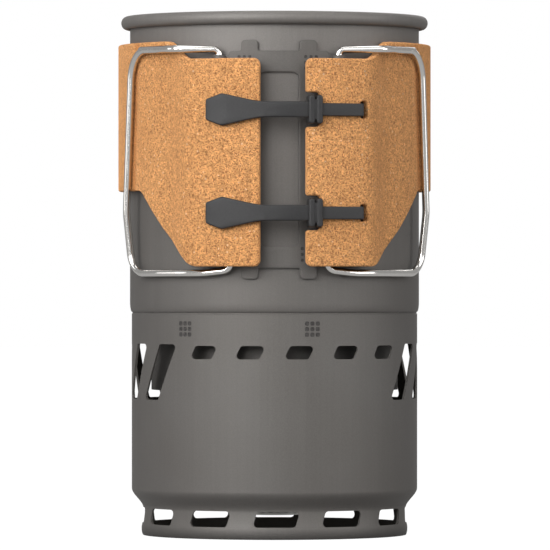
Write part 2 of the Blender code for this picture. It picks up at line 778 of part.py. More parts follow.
def handle_route(side):
    """The wire's middle line, from its upper leg round the pot to its lower leg."""
    top_leg = BRACKET_HIGH - BAR_HEIGHT + LEG_INSET
    low_leg = BRACKET_LOW + BAR_HEIGHT - LEG_INSET
    beside_cork = CORK_SIDE_OUTER + SEAT_GAP + WIRE_RADIUS
    low_radius = POT_RADIUS + WIRE_RADIUS + LOW_ARM_STAND_OFF
    over_step = CORK_FLAP_OUTER + WIRE_RADIUS
    bends = [
        (over_step, 37.3, ARM_HIGH, 0.0080),
        (beside_cork + ARM_EASE, 45, ARM_HIGH, 0.0150),
        (beside_cork + ARM_EASE, 54, ARM_HIGH, 0.0200),
        (beside_cork, math.degrees(GRIP_HIGH_ANGLE), ARM_HIGH, TOP_CORNER),
        (beside_cork, math.degrees(GRIP_LOW_ANGLE), ARM_LOW + GRIP_EASE, ARM_BEND),
        (low_radius + ARM_EASE, math.degrees(GRIP_LOW_ANGLE), ARM_LOW, LOW_CORNER),
        (low_radius, 53, ARM_LOW, ARM_BEND),
        (low_radius, 38, ARM_LOW, ARM_BEND),
        (HINGE_RADIUS, 29, ARM_LOW, ARM_BEND),
    ]
    corners = [(hinge_point(side, top_leg), 0), (hinge_point(side, ARM_HIGH - HIGH_LEG_DROP), LEG_BEND)]
    for radius, degrees, height, bend_radius in bends:
        corners.append((polar(radius, side * math.radians(degrees), height), bend_radius))
    corners.append((hinge_point(side, ARM_LOW + LOW_LEG_LIFT), LOW_LEG_BEND))
    corners.append((hinge_point(side, low_leg), 0))
    return rounded(corners, is_closed=False)


def handles():
    """The two wire bails, each with its origin on its hinge's axis."""
    for name, side in (("handle_left", -1), ("handle_right", 1)):
        wire(name, handle_route(side), WIRE_RADIUS, polished_wire(), hinge_point(side, ARM_LOW))


def from_front(angle):
    """The unsigned angle to the front, for an angle that runs once round."""
    wrapped = angle % (2 * math.pi)
    return min(wrapped, 2 * math.pi - wrapped)


def cork_radius(angle, share):
    """The sleeve's radius: it stands off over the hinges and hugs the pot elsewhere."""
    blend = smoothstep((from_front(angle) - CORK_BLEND_START) / (CORK_BLEND_END - CORK_BLEND_START))
    inner = CORK_FLAP_INNER + (CORK_SIDE_INNER - CORK_FLAP_INNER) * blend
    wall = CORK_FLAP_WALL + (CORK_SIDE_WALL - CORK_FLAP_WALL) * blend
    return inner + wall * share


def cork_slope(shift):
    """The corners of a flap's slanted lower edge, turned round by some degrees."""
    return [((math.radians(angle + shift), FLAP_LOW + lift), radius) for angle, lift, radius in CORK_SLOPE]


def cork_outline(scale):
    """The sleeve unrolled, from the right flap's edge round the back to the left flap's edge."""
    full = 2 * math.pi
    upper = ((CORK_STEP_END, FLAP_HIGH + CORK_STEP, 0.006), (CORK_STEP_START, FLAP_HIGH, 0.006))
    right = [((CORK_RIGHT_EDGE, FLAP_LOW), CORK_CORNER)] + cork_slope(CORK_SLOPE_SHIFT)
    left = [((full - angle, z), radius) for (angle, z), radius in reversed(cork_slope(-CORK_SLOPE_SHIFT))]
    left += [((full - CORK_LEFT_EDGE, z), CORK_CORNER) for z in (FLAP_LOW, FLAP_HIGH)]
    left += [((full - angle, z), radius) for angle, z, radius in reversed(upper)]
    top = [((angle, z), radius) for angle, z, radius in upper]
    top.append(((CORK_RIGHT_EDGE, FLAP_HIGH), CORK_CORNER))
    notch_end = angle_at(COLLAR_END_X + SEAT_GAP, CORK_FLAP_OUTER)
    for height in strap_heights():
        high = height + NOTCH_HEIGHT / 2
        low = height - NOTCH_HEIGHT / 2
        top += [((CORK_RIGHT_EDGE, high), 0.0010), ((notch_end, high), NOTCH_CORNER)]
        top += [((notch_end, low), NOTCH_CORNER), ((CORK_RIGHT_EDGE, low), 0.0010)]
    return [((angle * scale, z), radius) for (angle, z), radius in right + left + top]


def strap_heights():
    """The heights of the two straps, the upper one first."""
    middle = FLAP_MIDDLE + STRAP_LIFT
    return middle + STRAP_SPACING / 2, middle - STRAP_SPACING / 2


def cork_sleeve():
    """The cork sleeve with two flaps, the notches for the straps' collars, tail slots and peg holes."""
    scale = CORK_FLAP_OUTER
    plate = prism(rounded(cork_outline(scale)), 0, CORK_FLAP_WALL)
    chamfer_rim(plate, CORK_EDGE)
    cutters = []
    peg_x = (2 * math.pi + angle_at(PEG_X, scale)) * scale
    slot_low = angle_at(SLOT_END_X - STRAP_SLOT_WIDTH, scale) * scale
    slot_high = angle_at(SLOT_END_X, scale) * scale
    for height in strap_heights():
        half = STRAP_SLOT_HEIGHT / 2
        corner = STRAP_SLOT_WIDTH * 0.45
        slot = rounded([
            ((slot_low, height - half), corner),
            ((slot_high, height - half), corner),
            ((slot_high, height + half), corner),
            ((slot_low, height + half), corner),
        ])
        cutters.append(prism(slot, -CORK_FLAP_WALL, 2 * CORK_FLAP_WALL))
        hole = disc(PEG_RADIUS + PEG_HOLE_GAP, -CORK_FLAP_WALL, 2 * CORK_FLAP_WALL, SMALL_STEPS)
        cutters.append(moved(rotated(hole, math.radians(-90), "X"), (peg_x, 0, height)))
    plate = carved(plate, cutters)
    slice_across(plate, CORK_SLICE * scale)
    bend(plate, lambda angle, out: cork_radius(angle, out / CORK_FLAP_WALL), scale)
    add_object("cork_sleeve", plate, cork())


def bent_strip(corners, low, high, height, edge=STRAP_EDGE):
    """A silicone strip over the flaps: (x, z) corners from the strap's middle line, between two radii."""
    outline = []
    for (x, z), radius in corners:
        outline.append(((angle_at(x, STRAP_INNER) * STRAP_INNER, height + z), radius))
    strip = prism(rounded(outline), low, high)
    chamfer_rim(strip, edge)
    slice_across(strip, STRAP_INNER * math.radians(5))
    bend(strip, lambda angle, out: out, STRAP_INNER)
    return strip


def mirrored(corners):
    """The corners of an upper edge, followed by the same edge below the middle line."""
    return corners + [((x, -z), radius) for (x, z), radius in reversed(corners)]


def flange(start, end, height):
    """One of the collar's two flanges."""
    half = COLLAR_HEIGHT / 2
    corners = mirrored([((start, half), SMALL_CORNER), ((end, half), SMALL_CORNER)])
    return bent_strip(corners, STRAP_INNER - COLLAR_DEPTH, COLLAR_OUTER, height, 0.0004)


def strap(name, height):
    """The strap's free end: pull head with its peg, neck and the collar's first flange."""
    head = mirrored([
        ((HEAD_END_X, HEAD_END_HEIGHT / 2), HEAD_CORNER),
        ((HEAD_WIDE_X, HEAD_HEIGHT / 2), HEAD_CORNER),
        ((NECK_START_X, NECK_HEIGHT / 2), NECK_EASE),
        ((COLLAR_MIDDLE_X - SEAT_GAP, NECK_HEIGHT / 2), 0),
    ])
    shape = bent_strip(head, STRAP_INNER, STRAP_OUTER, height)
    shape = combined(shape, flange(COLLAR_START_X, COLLAR_MIDDLE_X - SEAT_GAP, height), "UNION")
    peg = disc(PEG_RADIUS, STRAP_INNER - PEG_DEPTH, STRAP_INNER + STRAP_WALL / 2, SMALL_STEPS)
    pointing(peg, angle_at(PEG_X, CORK_FLAP_OUTER), height)
    shape = combined(shape, peg, "UNION")
    add_object(name, shape, silicone(), strap_hinge(height))


def strap_hinge(height):
    """The point between the collar's flanges that the strap bends about."""
    return polar(COLLAR_OUTER, angle_at(COLLAR_MIDDLE_X, COLLAR_OUTER), height)


def strap_tail(name, height):
    """The strap's held end: the collar's second flange and the tail that is tucked into its slot."""
    start = COLLAR_MIDDLE_X + SEAT_GAP
    tail_outer = STRAP_INNER + TAIL_WALL
    tail_end = TAIL_END_X + TAIL_WALL * 0.6
    tail = mirrored([((start, TAIL_HEIGHT / 2), 0), ((tail_end, TAIL_HEIGHT / 2), STRAP_EDGE)])
    shape = bent_strip(tail, STRAP_INNER, tail_outer, height, SMALL_CORNER)
    shape = combined(shape, flange(start, COLLAR_END_X, height), "UNION")
    hook_start = SLOT_END_X - STRAP_SLOT_WIDTH + SEAT_GAP
    hook_end = hook_start + HOOK_WALL
    hook = mirrored([((x, TAIL_HEIGHT / 2), SMALL_CORNER) for x in (hook_start, hook_end)])
    hook = bent_strip(hook, CORK_FLAP_INNER, STRAP_INNER + TAIL_WALL / 2, height, 0.0001)
    add_object(name, combined(shape, hook, "UNION"), silicone())


def straps():
    """Both straps, each as its free end and its held end, which the collar's groove parts."""
    for name, height in zip(("strap_upper", "strap_lower"), strap_heights()):
        strap(name, height)
        strap_tail(name + "_tail", height)


def burner_plate():
    """The burner bay's floor, seated on the windscreen's shoulder."""
    rim = shoulder_radius(PLATE_TOP - PLATE_RIM_DROP - PLATE_WALL) - SCREEN_WALL - SEAT_GAP
    flat = rim - PLATE_RIM_WIDTH
    low = PLATE_TOP - PLATE_RIM_DROP
    profile = [
        (0, PLATE_TOP),
        (flat, PLATE_TOP),
        (rim, low),
        (rim, low - PLATE_WALL),
        (flat - PLATE_WALL / 2, PLATE_LOW),
        (0, PLATE_LOW),
    ]
    deep = PLATE_LOW - PLATE_WALL
    high = PLATE_TOP + PLATE_WALL
    cutters = [disc(VALVE_RADIUS + SEAT_GAP, deep, high, MEDIUM_STEPS)]
    for index in range(PLATE_HOLES):
        hole = moved(disc(PLATE_HOLE_RADIUS, deep, high, SMALL_STEPS), (0, PLATE_HOLE_CIRCLE, 0))
        cutters.append(rotated(hole, 2 * math.pi * index / PLATE_HOLES))
    cutters += screw_places(lambda: disc(SCREW_RADIUS + SEAT_GAP, deep, high, SMALL_STEPS))
    electrode_hole = disc(INSULATOR_RADIUS + SEAT_GAP, deep, high, SMALL_STEPS)
    cutters.append(moved(electrode_hole, polar(ELECTRODE_CIRCLE, ELECTRODE_ANGLE, 0)))
    add_object("burner_plate", carved(turned(profile, HIDDEN_STEPS), cutters), bare_steel())


def screw_places(make):
    """A copy of a shape at each of the valve's screws."""
    places = []
    for index in range(SCREW_COUNT):
        shape = moved(make(), (0, -SCREW_CIRCLE, 0))
        places.append(rotated(shape, 2 * math.pi * index / SCREW_COUNT))
    return places


def plate_screws():
    """The screws that hold the valve's flange under the plate."""
    head_low = PLATE_TOP + SEAT_GAP
    head_top = head_low + SCREW_HEAD
    profile = [
        (0, head_top),
        (0.6 * SCREW_HEAD_RADIUS, head_top),
        (SCREW_HEAD_RADIUS, head_top - 0.4 * SCREW_HEAD),
        (SCREW_HEAD_RADIUS, head_low),
        (SCREW_RADIUS, head_low),
        (SCREW_RADIUS, FLANGE_LOW),
        (0, FLANGE_LOW),
    ]
    for number, screw in enumerate(screw_places(lambda: turned(profile, SMALL_STEPS)), start=1):
        add_object(f"plate_screw_{number}", screw, bare_steel())


def valve_body():
    """The gas valve: boss through the plate, flange under it and the spigot that opens the canister."""
    profile = [
        (0, VALVE_TOP),
        (VALVE_RADIUS - 0.001, VALVE_TOP),
        (VALVE_RADIUS, VALVE_TOP - 0.001),
        (VALVE_RADIUS, FLANGE_TOP),
        (VALVE_FLANGE_RADIUS, FLANGE_TOP),
        (VALVE_FLANGE_RADIUS, FLANGE_LOW),
        (COLLAR_RADIUS, FLANGE_LOW),
        (COLLAR_RADIUS, VALVE_LOW),
        (VALVE_SPIGOT_RADIUS, VALVE_LOW),
        (VALVE_SPIGOT_RADIUS, VALVE_LOW - VALVE_SPIGOT),
        (0, VALVE_LOW - VALVE_SPIGOT),
    ]
    screw_hole = SCREW_RADIUS + SEAT_GAP
    cutters = screw_places(lambda: disc(screw_hole, FLANGE_LOW - PAST, FLANGE_TOP + PAST, SMALL_STEPS))
    jet_floor = VALVE_TOP - JET_SHANK - SEAT_GAP
    cutters.append(disc(JET_SHANK_RADIUS + SEAT_GAP, jet_floor, VALVE_TOP + PAST, SMALL_STEPS))
    bore = disc(SPINDLE_RADIUS + SEAT_GAP, VALVE_RADIUS - SPINDLE_DEPTH, VALVE_RADIUS + PAST, SMALL_STEPS)
    cutters.append(pointing(bore, math.pi, SPINDLE_Z))
    add_object("valve_body", carved(turned(profile, MEDIUM_STEPS), cutters), yellow_brass())


def canister_collar():
    """The ring that the canister's thread screws into."""
    top = VALVE_LOW - SEAT_GAP
    low = top - COLLAR_LENGTH
    profile = [
        (COLLAR_BORE, top),
        (COLLAR_RADIUS, top),
        (COLLAR_RADIUS, low + COLLAR_LEAD_IN),
        (COLLAR_RADIUS - COLLAR_LEAD_IN, low),
        (COLLAR_BORE + COLLAR_LEAD_IN, low),
        (COLLAR_BORE, low + COLLAR_LEAD_IN),
    ]
    add_object("canister_collar", turned(profile, MEDIUM_STEPS), bare_steel())


def canister_seal():
    """The rubber ring round the valve's spigot."""
    centre = (VALVE_SPIGOT_RADIUS + COLLAR_BORE) / 2
    middle = VALVE_LOW - SEAT_GAP - SEAL_RADIUS
    profile = []
    for step in range(6):
        angle = -2 * math.pi * step / 6
        profile.append((centre + SEAL_RADIUS * math.cos(angle), middle + SEAL_RADIUS * math.sin(angle)))
    add_object("canister_seal", turned(profile, MEDIUM_STEPS), silicone())


def gas_jet():
    """The hexagonal jet in the valve's top."""
    low = VALVE_TOP + SEAT_GAP
    shank = disc(JET_SHANK_RADIUS, VALVE_TOP - JET_SHANK, low + JET_HEIGHT / 2, SMALL_STEPS)
    head = disc(JET_RADIUS, low, low + JET_HEIGHT, HEX_STEPS)
    add_object("gas_jet", combined(head, shank, "UNION"), yellow_brass())


def mixer_tube():
    """The mixing tube with its four air windows over the jet."""
    inner = MIXER_RADIUS - MIXER_WALL
    profile = [(inner, MIXER_TOP), (MIXER_RADIUS, MIXER_TOP), (MIXER_RADIUS, MIXER_LOW), (inner, MIXER_LOW)]
    low = MIXER_LOW + MIXER_WINDOW_LIFT
    high = low + MIXER_WINDOW_HEIGHT
    windows = [
        box(MIXER_WINDOW_WIDTH, 3 * MIXER_RADIUS, low, high),
        box(3 * MIXER_RADIUS, MIXER_WINDOW_WIDTH, low, high),
    ]
    shape = turned(profile, MEDIUM_STEPS)
    for window in windows:
        shape = carved(shape, [window])
    add_object("mixer_tube", shape, bare_steel())


def burner_head():
    """The burner cup on its sleeve round the mixing tube."""
    sleeve = HEAD_BORE + HEAD_WALL
    cup_low = HEAD_CONE_LOW + HEAD_CONE
    inner = HEAD_RADIUS - HEAD_WALL
    profile = [
        (HEAD_BORE, HEAD_CONE_LOW + HEAD_WALL),
        (inner - 0.001, cup_low + HEAD_WALL),
        (inner, cup_low + HEAD_WALL + 0.001),
        (inner, HEAD_TOP),
        (HEAD_RADIUS, HEAD_TOP),
        (HEAD_RADIUS, cup_low + 0.001),
        (HEAD_RADIUS - 0.001, cup_low),
        (sleeve, HEAD_CONE_LOW),
        (sleeve, HEAD_LOW),
        (HEAD_BORE, HEAD_LOW),
    ]
    add_object("burner_head", turned(profile, HIDDEN_STEPS), bare_steel())


def burner_mesh():
    """The perforated flame mesh in the burner cup."""
    radius = HEAD_RADIUS - HEAD_WALL - SEAT_GAP
    top = HEAD_TOP - MESH_BELOW_LIP
    cutters = []
    for count, circle in MESH_RINGS:
        for index in range(count):
            hole = disc(MESH_HOLE_RADIUS, top - 2 * MESH_WALL, top + MESH_WALL, HEX_STEPS)
            cutters.append(rotated(moved(hole, (0, circle, 0)), 2 * math.pi * index / count))
    sheet = disc(radius, top - MESH_WALL, top, HIDDEN_STEPS)
    add_object("burner_mesh", carved(sheet, cutters), bare_steel())


def valve_spindle():
    """The rod from the valve to the knob, along +Y."""
    start = VALVE_RADIUS - SPINDLE_DEPTH + SEAT_GAP
    end = SCREEN_RADIUS + SCREEN_HOLE_GAP + KNOB_SOCKET - SEAT_GAP
    rod = disc(SPINDLE_RADIUS, start, end, SMALL_STEPS)
    add_object("valve_spindle", pointing(rod, math.pi, SPINDLE_Z), bare_steel(), (0, end, SPINDLE_Z))


def spindle_nut():
    """The gland nut where the spindle leaves the valve."""
    low = VALVE_RADIUS + SEAT_GAP
    nut = disc(NUT_RADIUS, low, low + NUT_LENGTH, HEX_STEPS)
    bore = disc(SPINDLE_RADIUS + SEAT_GAP, low - PAST, low + NUT_LENGTH + PAST, SMALL_STEPS)
    add_object("spindle_nut", pointing(carved(nut, [bore]), math.pi, SPINDLE_Z), yellow_brass())


def control_knob():
    """The fluted knob on the spindle's end."""
    low = SCREEN_RADIUS + SCREEN_HOLE_GAP
    high = low + KNOB_LENGTH
    edge = KNOB_EDGE
    profile = [
        (0, high),
        (KNOB_RADIUS - edge, high),
        (KNOB_RADIUS, high - edge),
        (KNOB_RADIUS, low + edge),
        (KNOB_RADIUS - edge, low),
        (0, low),
    ]
    cutters = [disc(SPINDLE_RADIUS + SEAT_GAP, low - edge, low + KNOB_SOCKET, SMALL_STEPS)]
    for index in range(KNOB_FLUTES):
        flute = disc(KNOB_FLUTE_RADIUS, low + 3 * edge, high + edge, 8)
        moved(flute, (0, KNOB_RADIUS + KNOB_FLUTE_SHIFT, 0))
        cutters.append(rotated(flute, 2 * math.pi * index / KNOB_FLUTES))
    knob = carved(turned(profile, MEDIUM_STEPS), cutters)
    add_object("control_knob", pointing(knob, math.pi, SPINDLE_Z), black_plastic(), (0, low, SPINDLE_Z))


def igniter():
    """The piezo igniter: housing through the windscreen's wall, its nut and its push-button."""
    flange_low = SCREEN_RADIUS + SEAT_GAP
    flange_high = flange_low + IGNITER_FLANGE
    profile = [
        (0, flange_high),
        (IGNITER_FLANGE_RADIUS, flange_high),
        (IGNITER_FLANGE_RADIUS, flange_low),
        (IGNITER_RADIUS, flange_low),
        (IGNITER_RADIUS, IGNITER_INNER_END + 0.001),
        (IGNITER_RADIUS - 0.001, IGNITER_INNER_END),
        (0, IGNITER_INNER_END),
    ]
    button_low = flange_high - BUTTON_STEM
    bore_low = button_low - BUTTON_TRAVEL - SEAT_GAP
    bore = disc(BUTTON_RADIUS + RUNNING_GAP, bore_low, flange_high + PAST, MEDIUM_STEPS)
    housing = carved(turned(profile, MEDIUM_STEPS), [bore])
    add_object("igniter_housing", pointing(housing, IGNITER_ANGLE, IGNITER_Z), black_plastic())
    nut_radius = IGNITER_FLANGE_RADIUS
    sagitta = SCREEN_INNER - math.sqrt(SCREEN_INNER ** 2 - nut_radius ** 2)
    nut_high = SCREEN_INNER - sagitta - SEAT_GAP
    inner = IGNITER_RADIUS + SEAT_GAP
    nut_low = nut_high - IGNITER_NUT
    ring = [(inner, nut_high), (nut_radius, nut_high), (nut_radius, nut_low), (inner, nut_low)]
    add_object("igniter_nut", pointing(turned(ring, SMALL_STEPS), IGNITER_ANGLE, IGNITER_Z), bare_steel())
    button_high = flange_high + BUTTON_PROUD
    button = turned([
        (0, button_high),
        (BUTTON_RADIUS - 0.0008, button_high),
        (BUTTON_RADIUS, button_high - 0.0008),
        (BUTTON_RADIUS, button_low),
        (0, button_low),
    ], MEDIUM_STEPS)
    origin = polar(button_low, IGNITER_ANGLE, IGNITER_Z)
    add_object("igniter_button", pointing(button, IGNITER_ANGLE, IGNITER_Z), silicone(), origin)


def electrode():
    """The ceramic insulator in the plate, the spark wire over the burner and the lead to the igniter."""
    collar_low = PLATE_TOP + SEAT_GAP
    collar_high = collar_low + INSULATOR_COLLAR
    top = collar_low + INSULATOR_HEIGHT
    place = polar(ELECTRODE_CIRCLE, ELECTRODE_ANGLE, 0)
    profile = [
        (0, top),
        (INSULATOR_RADIUS, top),
        (INSULATOR_RADIUS, collar_high),
        (INSULATOR_COLLAR_RADIUS, collar_high),
        (INSULATOR_COLLAR_RADIUS, collar_low),
        (INSULATOR_RADIUS, collar_low),
        (INSULATOR_RADIUS, collar_low - INSULATOR_ROOT),
        (0, collar_low - INSULATOR_ROOT),
    ]
    add_object("electrode_insulator", moved(turned(profile, SMALL_STEPS), place), white_ceramic())
    wire_low = top + SEAT_GAP
    tip = ELECTRODE_CIRCLE - ELECTRODE_REACH
    corners = [
        (polar(ELECTRODE_CIRCLE, ELECTRODE_ANGLE, wire_low), 0),
        (polar(ELECTRODE_CIRCLE, ELECTRODE_ANGLE, wire_low + ELECTRODE_RISE), 0.002),
        (polar(tip, ELECTRODE_ANGLE, wire_low + ELECTRODE_RISE - 0.001), 0),
    ]
    wire("electrode_wire", rounded(corners, is_closed=False), ELECTRODE_RADIUS, bare_steel())
    lead_z = collar_high + LEAD_LIFT
    side = INSULATOR_RADIUS + SEAT_GAP
    landing = polar(ELECTRODE_CIRCLE, ELECTRODE_ANGLE, lead_z)
    along = (polar(IGNITER_INNER_END - 0.004, IGNITER_ANGLE, lead_z) - landing).normalized()
    route = [
        (polar(IGNITER_INNER_END - SEAT_GAP, IGNITER_ANGLE, IGNITER_Z), 0),
        (polar(IGNITER_INNER_END - 0.004, IGNITER_ANGLE, IGNITER_Z), 0.0025),
        (polar(IGNITER_INNER_END - 0.004, IGNITER_ANGLE, lead_z), 0.0025),
        (landing + along * side, 0),
    ]
    wire("igniter_lead", rounded(route, steps=4, is_closed=False), LEAD_RADIUS, silicone())


def main():
    clear_scene()
    pot_body()
    fin_ring()
    fin_band()
    windscreen()
    pot_seat_ring()
    hinge_bracket()
    handles()
    cork_sleeve()
    straps()
    burner_plate()
    plate_screws()
    valve_body()
    canister_collar()
    canister_seal()
    gas_jet()
    mixer_tube()
    burner_head()
    burner_mesh()
    valve_spindle()
    spindle_nut()
    control_knob()
    igniter()
    electrode()


main()
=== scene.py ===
"""Integrated canister stove: each visible piece and its finish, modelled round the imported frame.

Metres, +Z up, the pot's axis on Z, the front towards -Y. Angles run from the front, positive towards +X."""

import functools
import math

import bmesh
import bpy
from mathutils import Matrix, Vector


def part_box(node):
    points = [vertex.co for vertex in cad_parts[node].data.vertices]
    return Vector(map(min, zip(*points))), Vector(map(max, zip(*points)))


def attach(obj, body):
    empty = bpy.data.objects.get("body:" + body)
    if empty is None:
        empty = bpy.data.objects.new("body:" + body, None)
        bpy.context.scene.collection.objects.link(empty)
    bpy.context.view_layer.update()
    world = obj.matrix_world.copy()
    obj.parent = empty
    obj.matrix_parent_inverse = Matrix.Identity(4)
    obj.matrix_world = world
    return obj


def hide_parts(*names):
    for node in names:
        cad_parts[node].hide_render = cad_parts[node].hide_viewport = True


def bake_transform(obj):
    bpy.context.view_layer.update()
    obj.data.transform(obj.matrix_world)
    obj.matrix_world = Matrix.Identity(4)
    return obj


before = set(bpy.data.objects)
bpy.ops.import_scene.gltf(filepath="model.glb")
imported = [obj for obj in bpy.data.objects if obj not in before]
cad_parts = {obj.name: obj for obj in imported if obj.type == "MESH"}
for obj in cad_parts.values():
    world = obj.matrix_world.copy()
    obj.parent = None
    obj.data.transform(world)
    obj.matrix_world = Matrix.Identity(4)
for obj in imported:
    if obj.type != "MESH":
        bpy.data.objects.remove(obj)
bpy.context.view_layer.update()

bl_info = {
    "name": "Integrated canister stove",
    "version": (1, 0, 0),
    "blender": (4, 5, 0),
    "location": "3D View > Sidebar > Stove",
    "description": "Models a pot with a cork sleeve and wire handles on a vented windscreen with its burner",
    "category": "Add Mesh",
}

# The gap between pieces that are fixed together, and how far a cutter passes the surface that it opens
SEAT_GAP = 0.0003
PAST = 0.001
FULL_TURN = 2 * math.pi

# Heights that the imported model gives
POT_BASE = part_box("pot_body")[0].z
POT_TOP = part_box("pot_body")[1].z
SCREEN_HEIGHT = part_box("windscreen")[1].z
PLATE_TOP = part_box("burner_plate")[1].z
VALVE_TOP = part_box("valve_body")[1].z

# Pot
POT_RADIUS = 0.0560
POT_WALL = 0.0010
POT_FLOOR = 0.0012
POT_BOTTOM_RADIUS = 0.0038
POT_DRAW_IN = 0.0008
RIM_WIDTH = 0.0044
RIM_HEIGHT = 0.0050
RIM_MEETS_WALL = 124

# Windscreen
SCREEN_RADIUS = 0.0553
SCREEN_WALL = 0.0008
SCREEN_LIP = 0.00025
SEAM_LIP_TOP = POT_BASE - 0.00005
NECK_RADIUS = 0.0508
NECK_TOP = 0.0103
SHOULDER_HEIGHT = 0.0078
FOOT_BEAD = 0.0007
FOOT_BEAD_HEIGHT = 0.0050
# Count, width, lower edge, height, lean and corner of the windows in the neck ring
BASE_VENTS = (12, 0.0163, 0.0046, 0.0061, 0.0019, 0.0016)
BASE_VENT_TURN = math.radians(-1.0)
VENT_SLANT = math.radians(27)
VENT_PITCH = math.radians(19.57)
VENT_CENTRE = math.radians(9.5)
VENT_COUNT = 5
# The rear vents stand between the front ones, so that no line of sight passes through both.
REAR_VENT_COUNT = 4
# How many pitches each tall slot stands from the middle vent
SLOT_PLACES = (3, 4, -3, -4)
VENT_SIZE = (0.0096, 0.0051)
SLOT_SIZE = (0.0099, 0.0214)
VENT_CORNER = 0.0014
VENTS_BELOW_TOP = 0.0121
SLOTS_BELOW_TOP = 0.0116
CUTTER_REACH = (0.9 * NECK_RADIUS, 1.1 * SCREEN_RADIUS)
SPINDLE_HOLE = 0.0030
IGNITER_HOLE = 0.0047

# Spot welds
WELD_DOT = 0.00138
WELD_PROUD = 0.00006
WELD_PITCH = 0.0021
SHROUD_WELD_Z = 0.0800
SHROUD_WELD_ANGLES = (-39.7, 13.3, 140.3, 193.3)
SHROUD_WELD_GROWTH = 1.18
HIGH_WELD_ROWS = (0.1831, 0.18095, 0.1788)
LOW_WELD_ROWS = (0.1105, 0.1083, 0.1061)
BRACKET_WELD_SHRINK = 0.85
HIGH_WELD_CENTRE = 0.0126
HIGH_WELD_SHIFT = 0.0005
HIGH_WELD_PITCH = 0.0020
LOW_WELD_CENTRE = 0.0109
LOW_WELD_PITCH = 0.0021

# Hinge bracket
BRACKET_INNER = 0.0563
BRACKET_WALL = 0.0010
BRACKET_OUTER = BRACKET_INNER + BRACKET_WALL
BRACKET_LOW = POT_BASE + 0.0169
BRACKET_HIGH = POT_TOP - 0.0151
BAR_HEIGHT = 0.0080
RAIL_INNER = 0.0075
RAIL_OUTER = 0.0150
TAB_INNER = 0.0080
TAB_OUTER = 0.0145
TAB_HEIGHT = 0.0041
WING_HEIGHT = 0.0050
HIGH_WING_HEIGHT = 0.0064
EAR_OUTER = 0.0195
NOOK_CORNER = 0.0008
RAIL_CORNER = 0.0020
EAR_CORNER = 0.0004
TAB_CORNER = 0.0015
WINDOW_CORNER = 0.0025
BRACKET_EDGE = 0.00018
HINGE_RADIUS = 0.0588
HINGE_HIGH_ANGLE = math.radians(22.8)
HINGE_LOW_ANGLE = math.radians(17.9)
KNUCKLE_RADIUS = 0.0025
KNUCKLE_BORE = 0.0017

# Wire handles
WIRE_RADIUS = 0.0014
GRIP_HIGH_ANGLE = 63.0
GRIP_LOW_ANGLE = 67.6
ARM_HIGH = BRACKET_HIGH + 0.0008
HIGH_LEG_DROP = 0.0004
LEG_BEND = 0.0020
ARM_LOW = BRACKET_LOW - 0.0019
ARM_EASE = 0.0009
LEG_INSET = 0.0010
LOW_CORNER = 0.0078
LOW_LEG_LIFT = 0.0012
LOW_LEG_BEND = 0.0036

# Cork sleeve
CORK_SIDE_INNER = 0.0563
CORK_SIDE_WALL = 0.0042
CORK_FLAP_INNER = 0.0616
CORK_FLAP_WALL = 0.0038
CORK_FLAP_OUTER = CORK_FLAP_INNER + CORK_FLAP_WALL
CORK_LEFT_EDGE = math.radians(6.6)
CORK_RIGHT_EDGE = math.radians(9.0)
CORK_BLEND_START = math.radians(31)
CORK_BLEND_END = math.radians(44)
CORK_STEP_START = math.radians(32.5)
CORK_STEP_END = math.radians(44.5)
CORK_STEP = 0.0070
CORK_STEP_CORNER = 0.006
# Degrees from the front, lift and corner of each bend in a flap's slanted lower edge
CORK_SLOPE = ((33.4, 0, 0.009), (48.6, 0.0143, 0), (62.0, 0.0290, 0.006))
CORK_SLOPE_SHIFT = 2.1
CORK_CORNER = 0.0025
CORK_EDGE = 0.0008
FLAP_LOW = BRACKET_LOW + 0.0006
FLAP_HIGH = BRACKET_HIGH - 0.0030
GROOVE_DEPTH = 0.0004
GROOVE_HALF_WIDTH = math.radians(2.8)
GROOVE_LEAD = math.radians(0.8)

# Silicone straps
STRAP_MIDDLE = (FLAP_LOW + FLAP_HIGH) / 2 + 0.0004
STRAP_SPACING = 0.0390
STRAP_INNER = CORK_FLAP_OUTER + SEAT_GAP
STRAP_WALL = 0.0022
COLLAR_OUTER = STRAP_INNER + STRAP_WALL + 0.0008
COLLAR_DEPTH = 0.0030
COLLAR_START_X = 0.0105
COLLAR_MIDDLE_X = 0.0131
COLLAR_END_X = 0.0157
COLLAR_HEIGHT = 0.0109
COLLAR_CORNER = 0.0011
COLLAR_EDGE = 0.0007
WEB_HALF_WIDTH = 0.0012
WEB_OUTER = COLLAR_OUTER - 0.0004
WEB_WALL = 0.0008
NECK_HEIGHT = 0.0060
NECK_START_X = -0.0076
NECK_EASE = 0.0300
HEAD_END = (-0.0272, 0.0039)
HEAD_WIDEST = (-0.0214, 0.00615)
HEAD_CORNER = 0.0012
TAIL_HEIGHT = 0.0048
TAIL_WALL = 0.0017
TAIL_END_X = 0.0311
SLOT_END_X = 0.0338
STRAP_SLOT_WIDTH = 0.0029
STRAP_SLOT_HEIGHT = 0.0066
NOTCH_HEIGHT = 0.0131
NOTCH_CORNER = 0.0020
NOTCH_MOUTH_CORNER = 0.0010
PEG_X = -0.0190
PEG_RADIUS = 0.0020
PEG_HOLE_RADIUS = 0.0030
PEG_DEPTH = 0.0022
HOOK_WALL = 0.0007

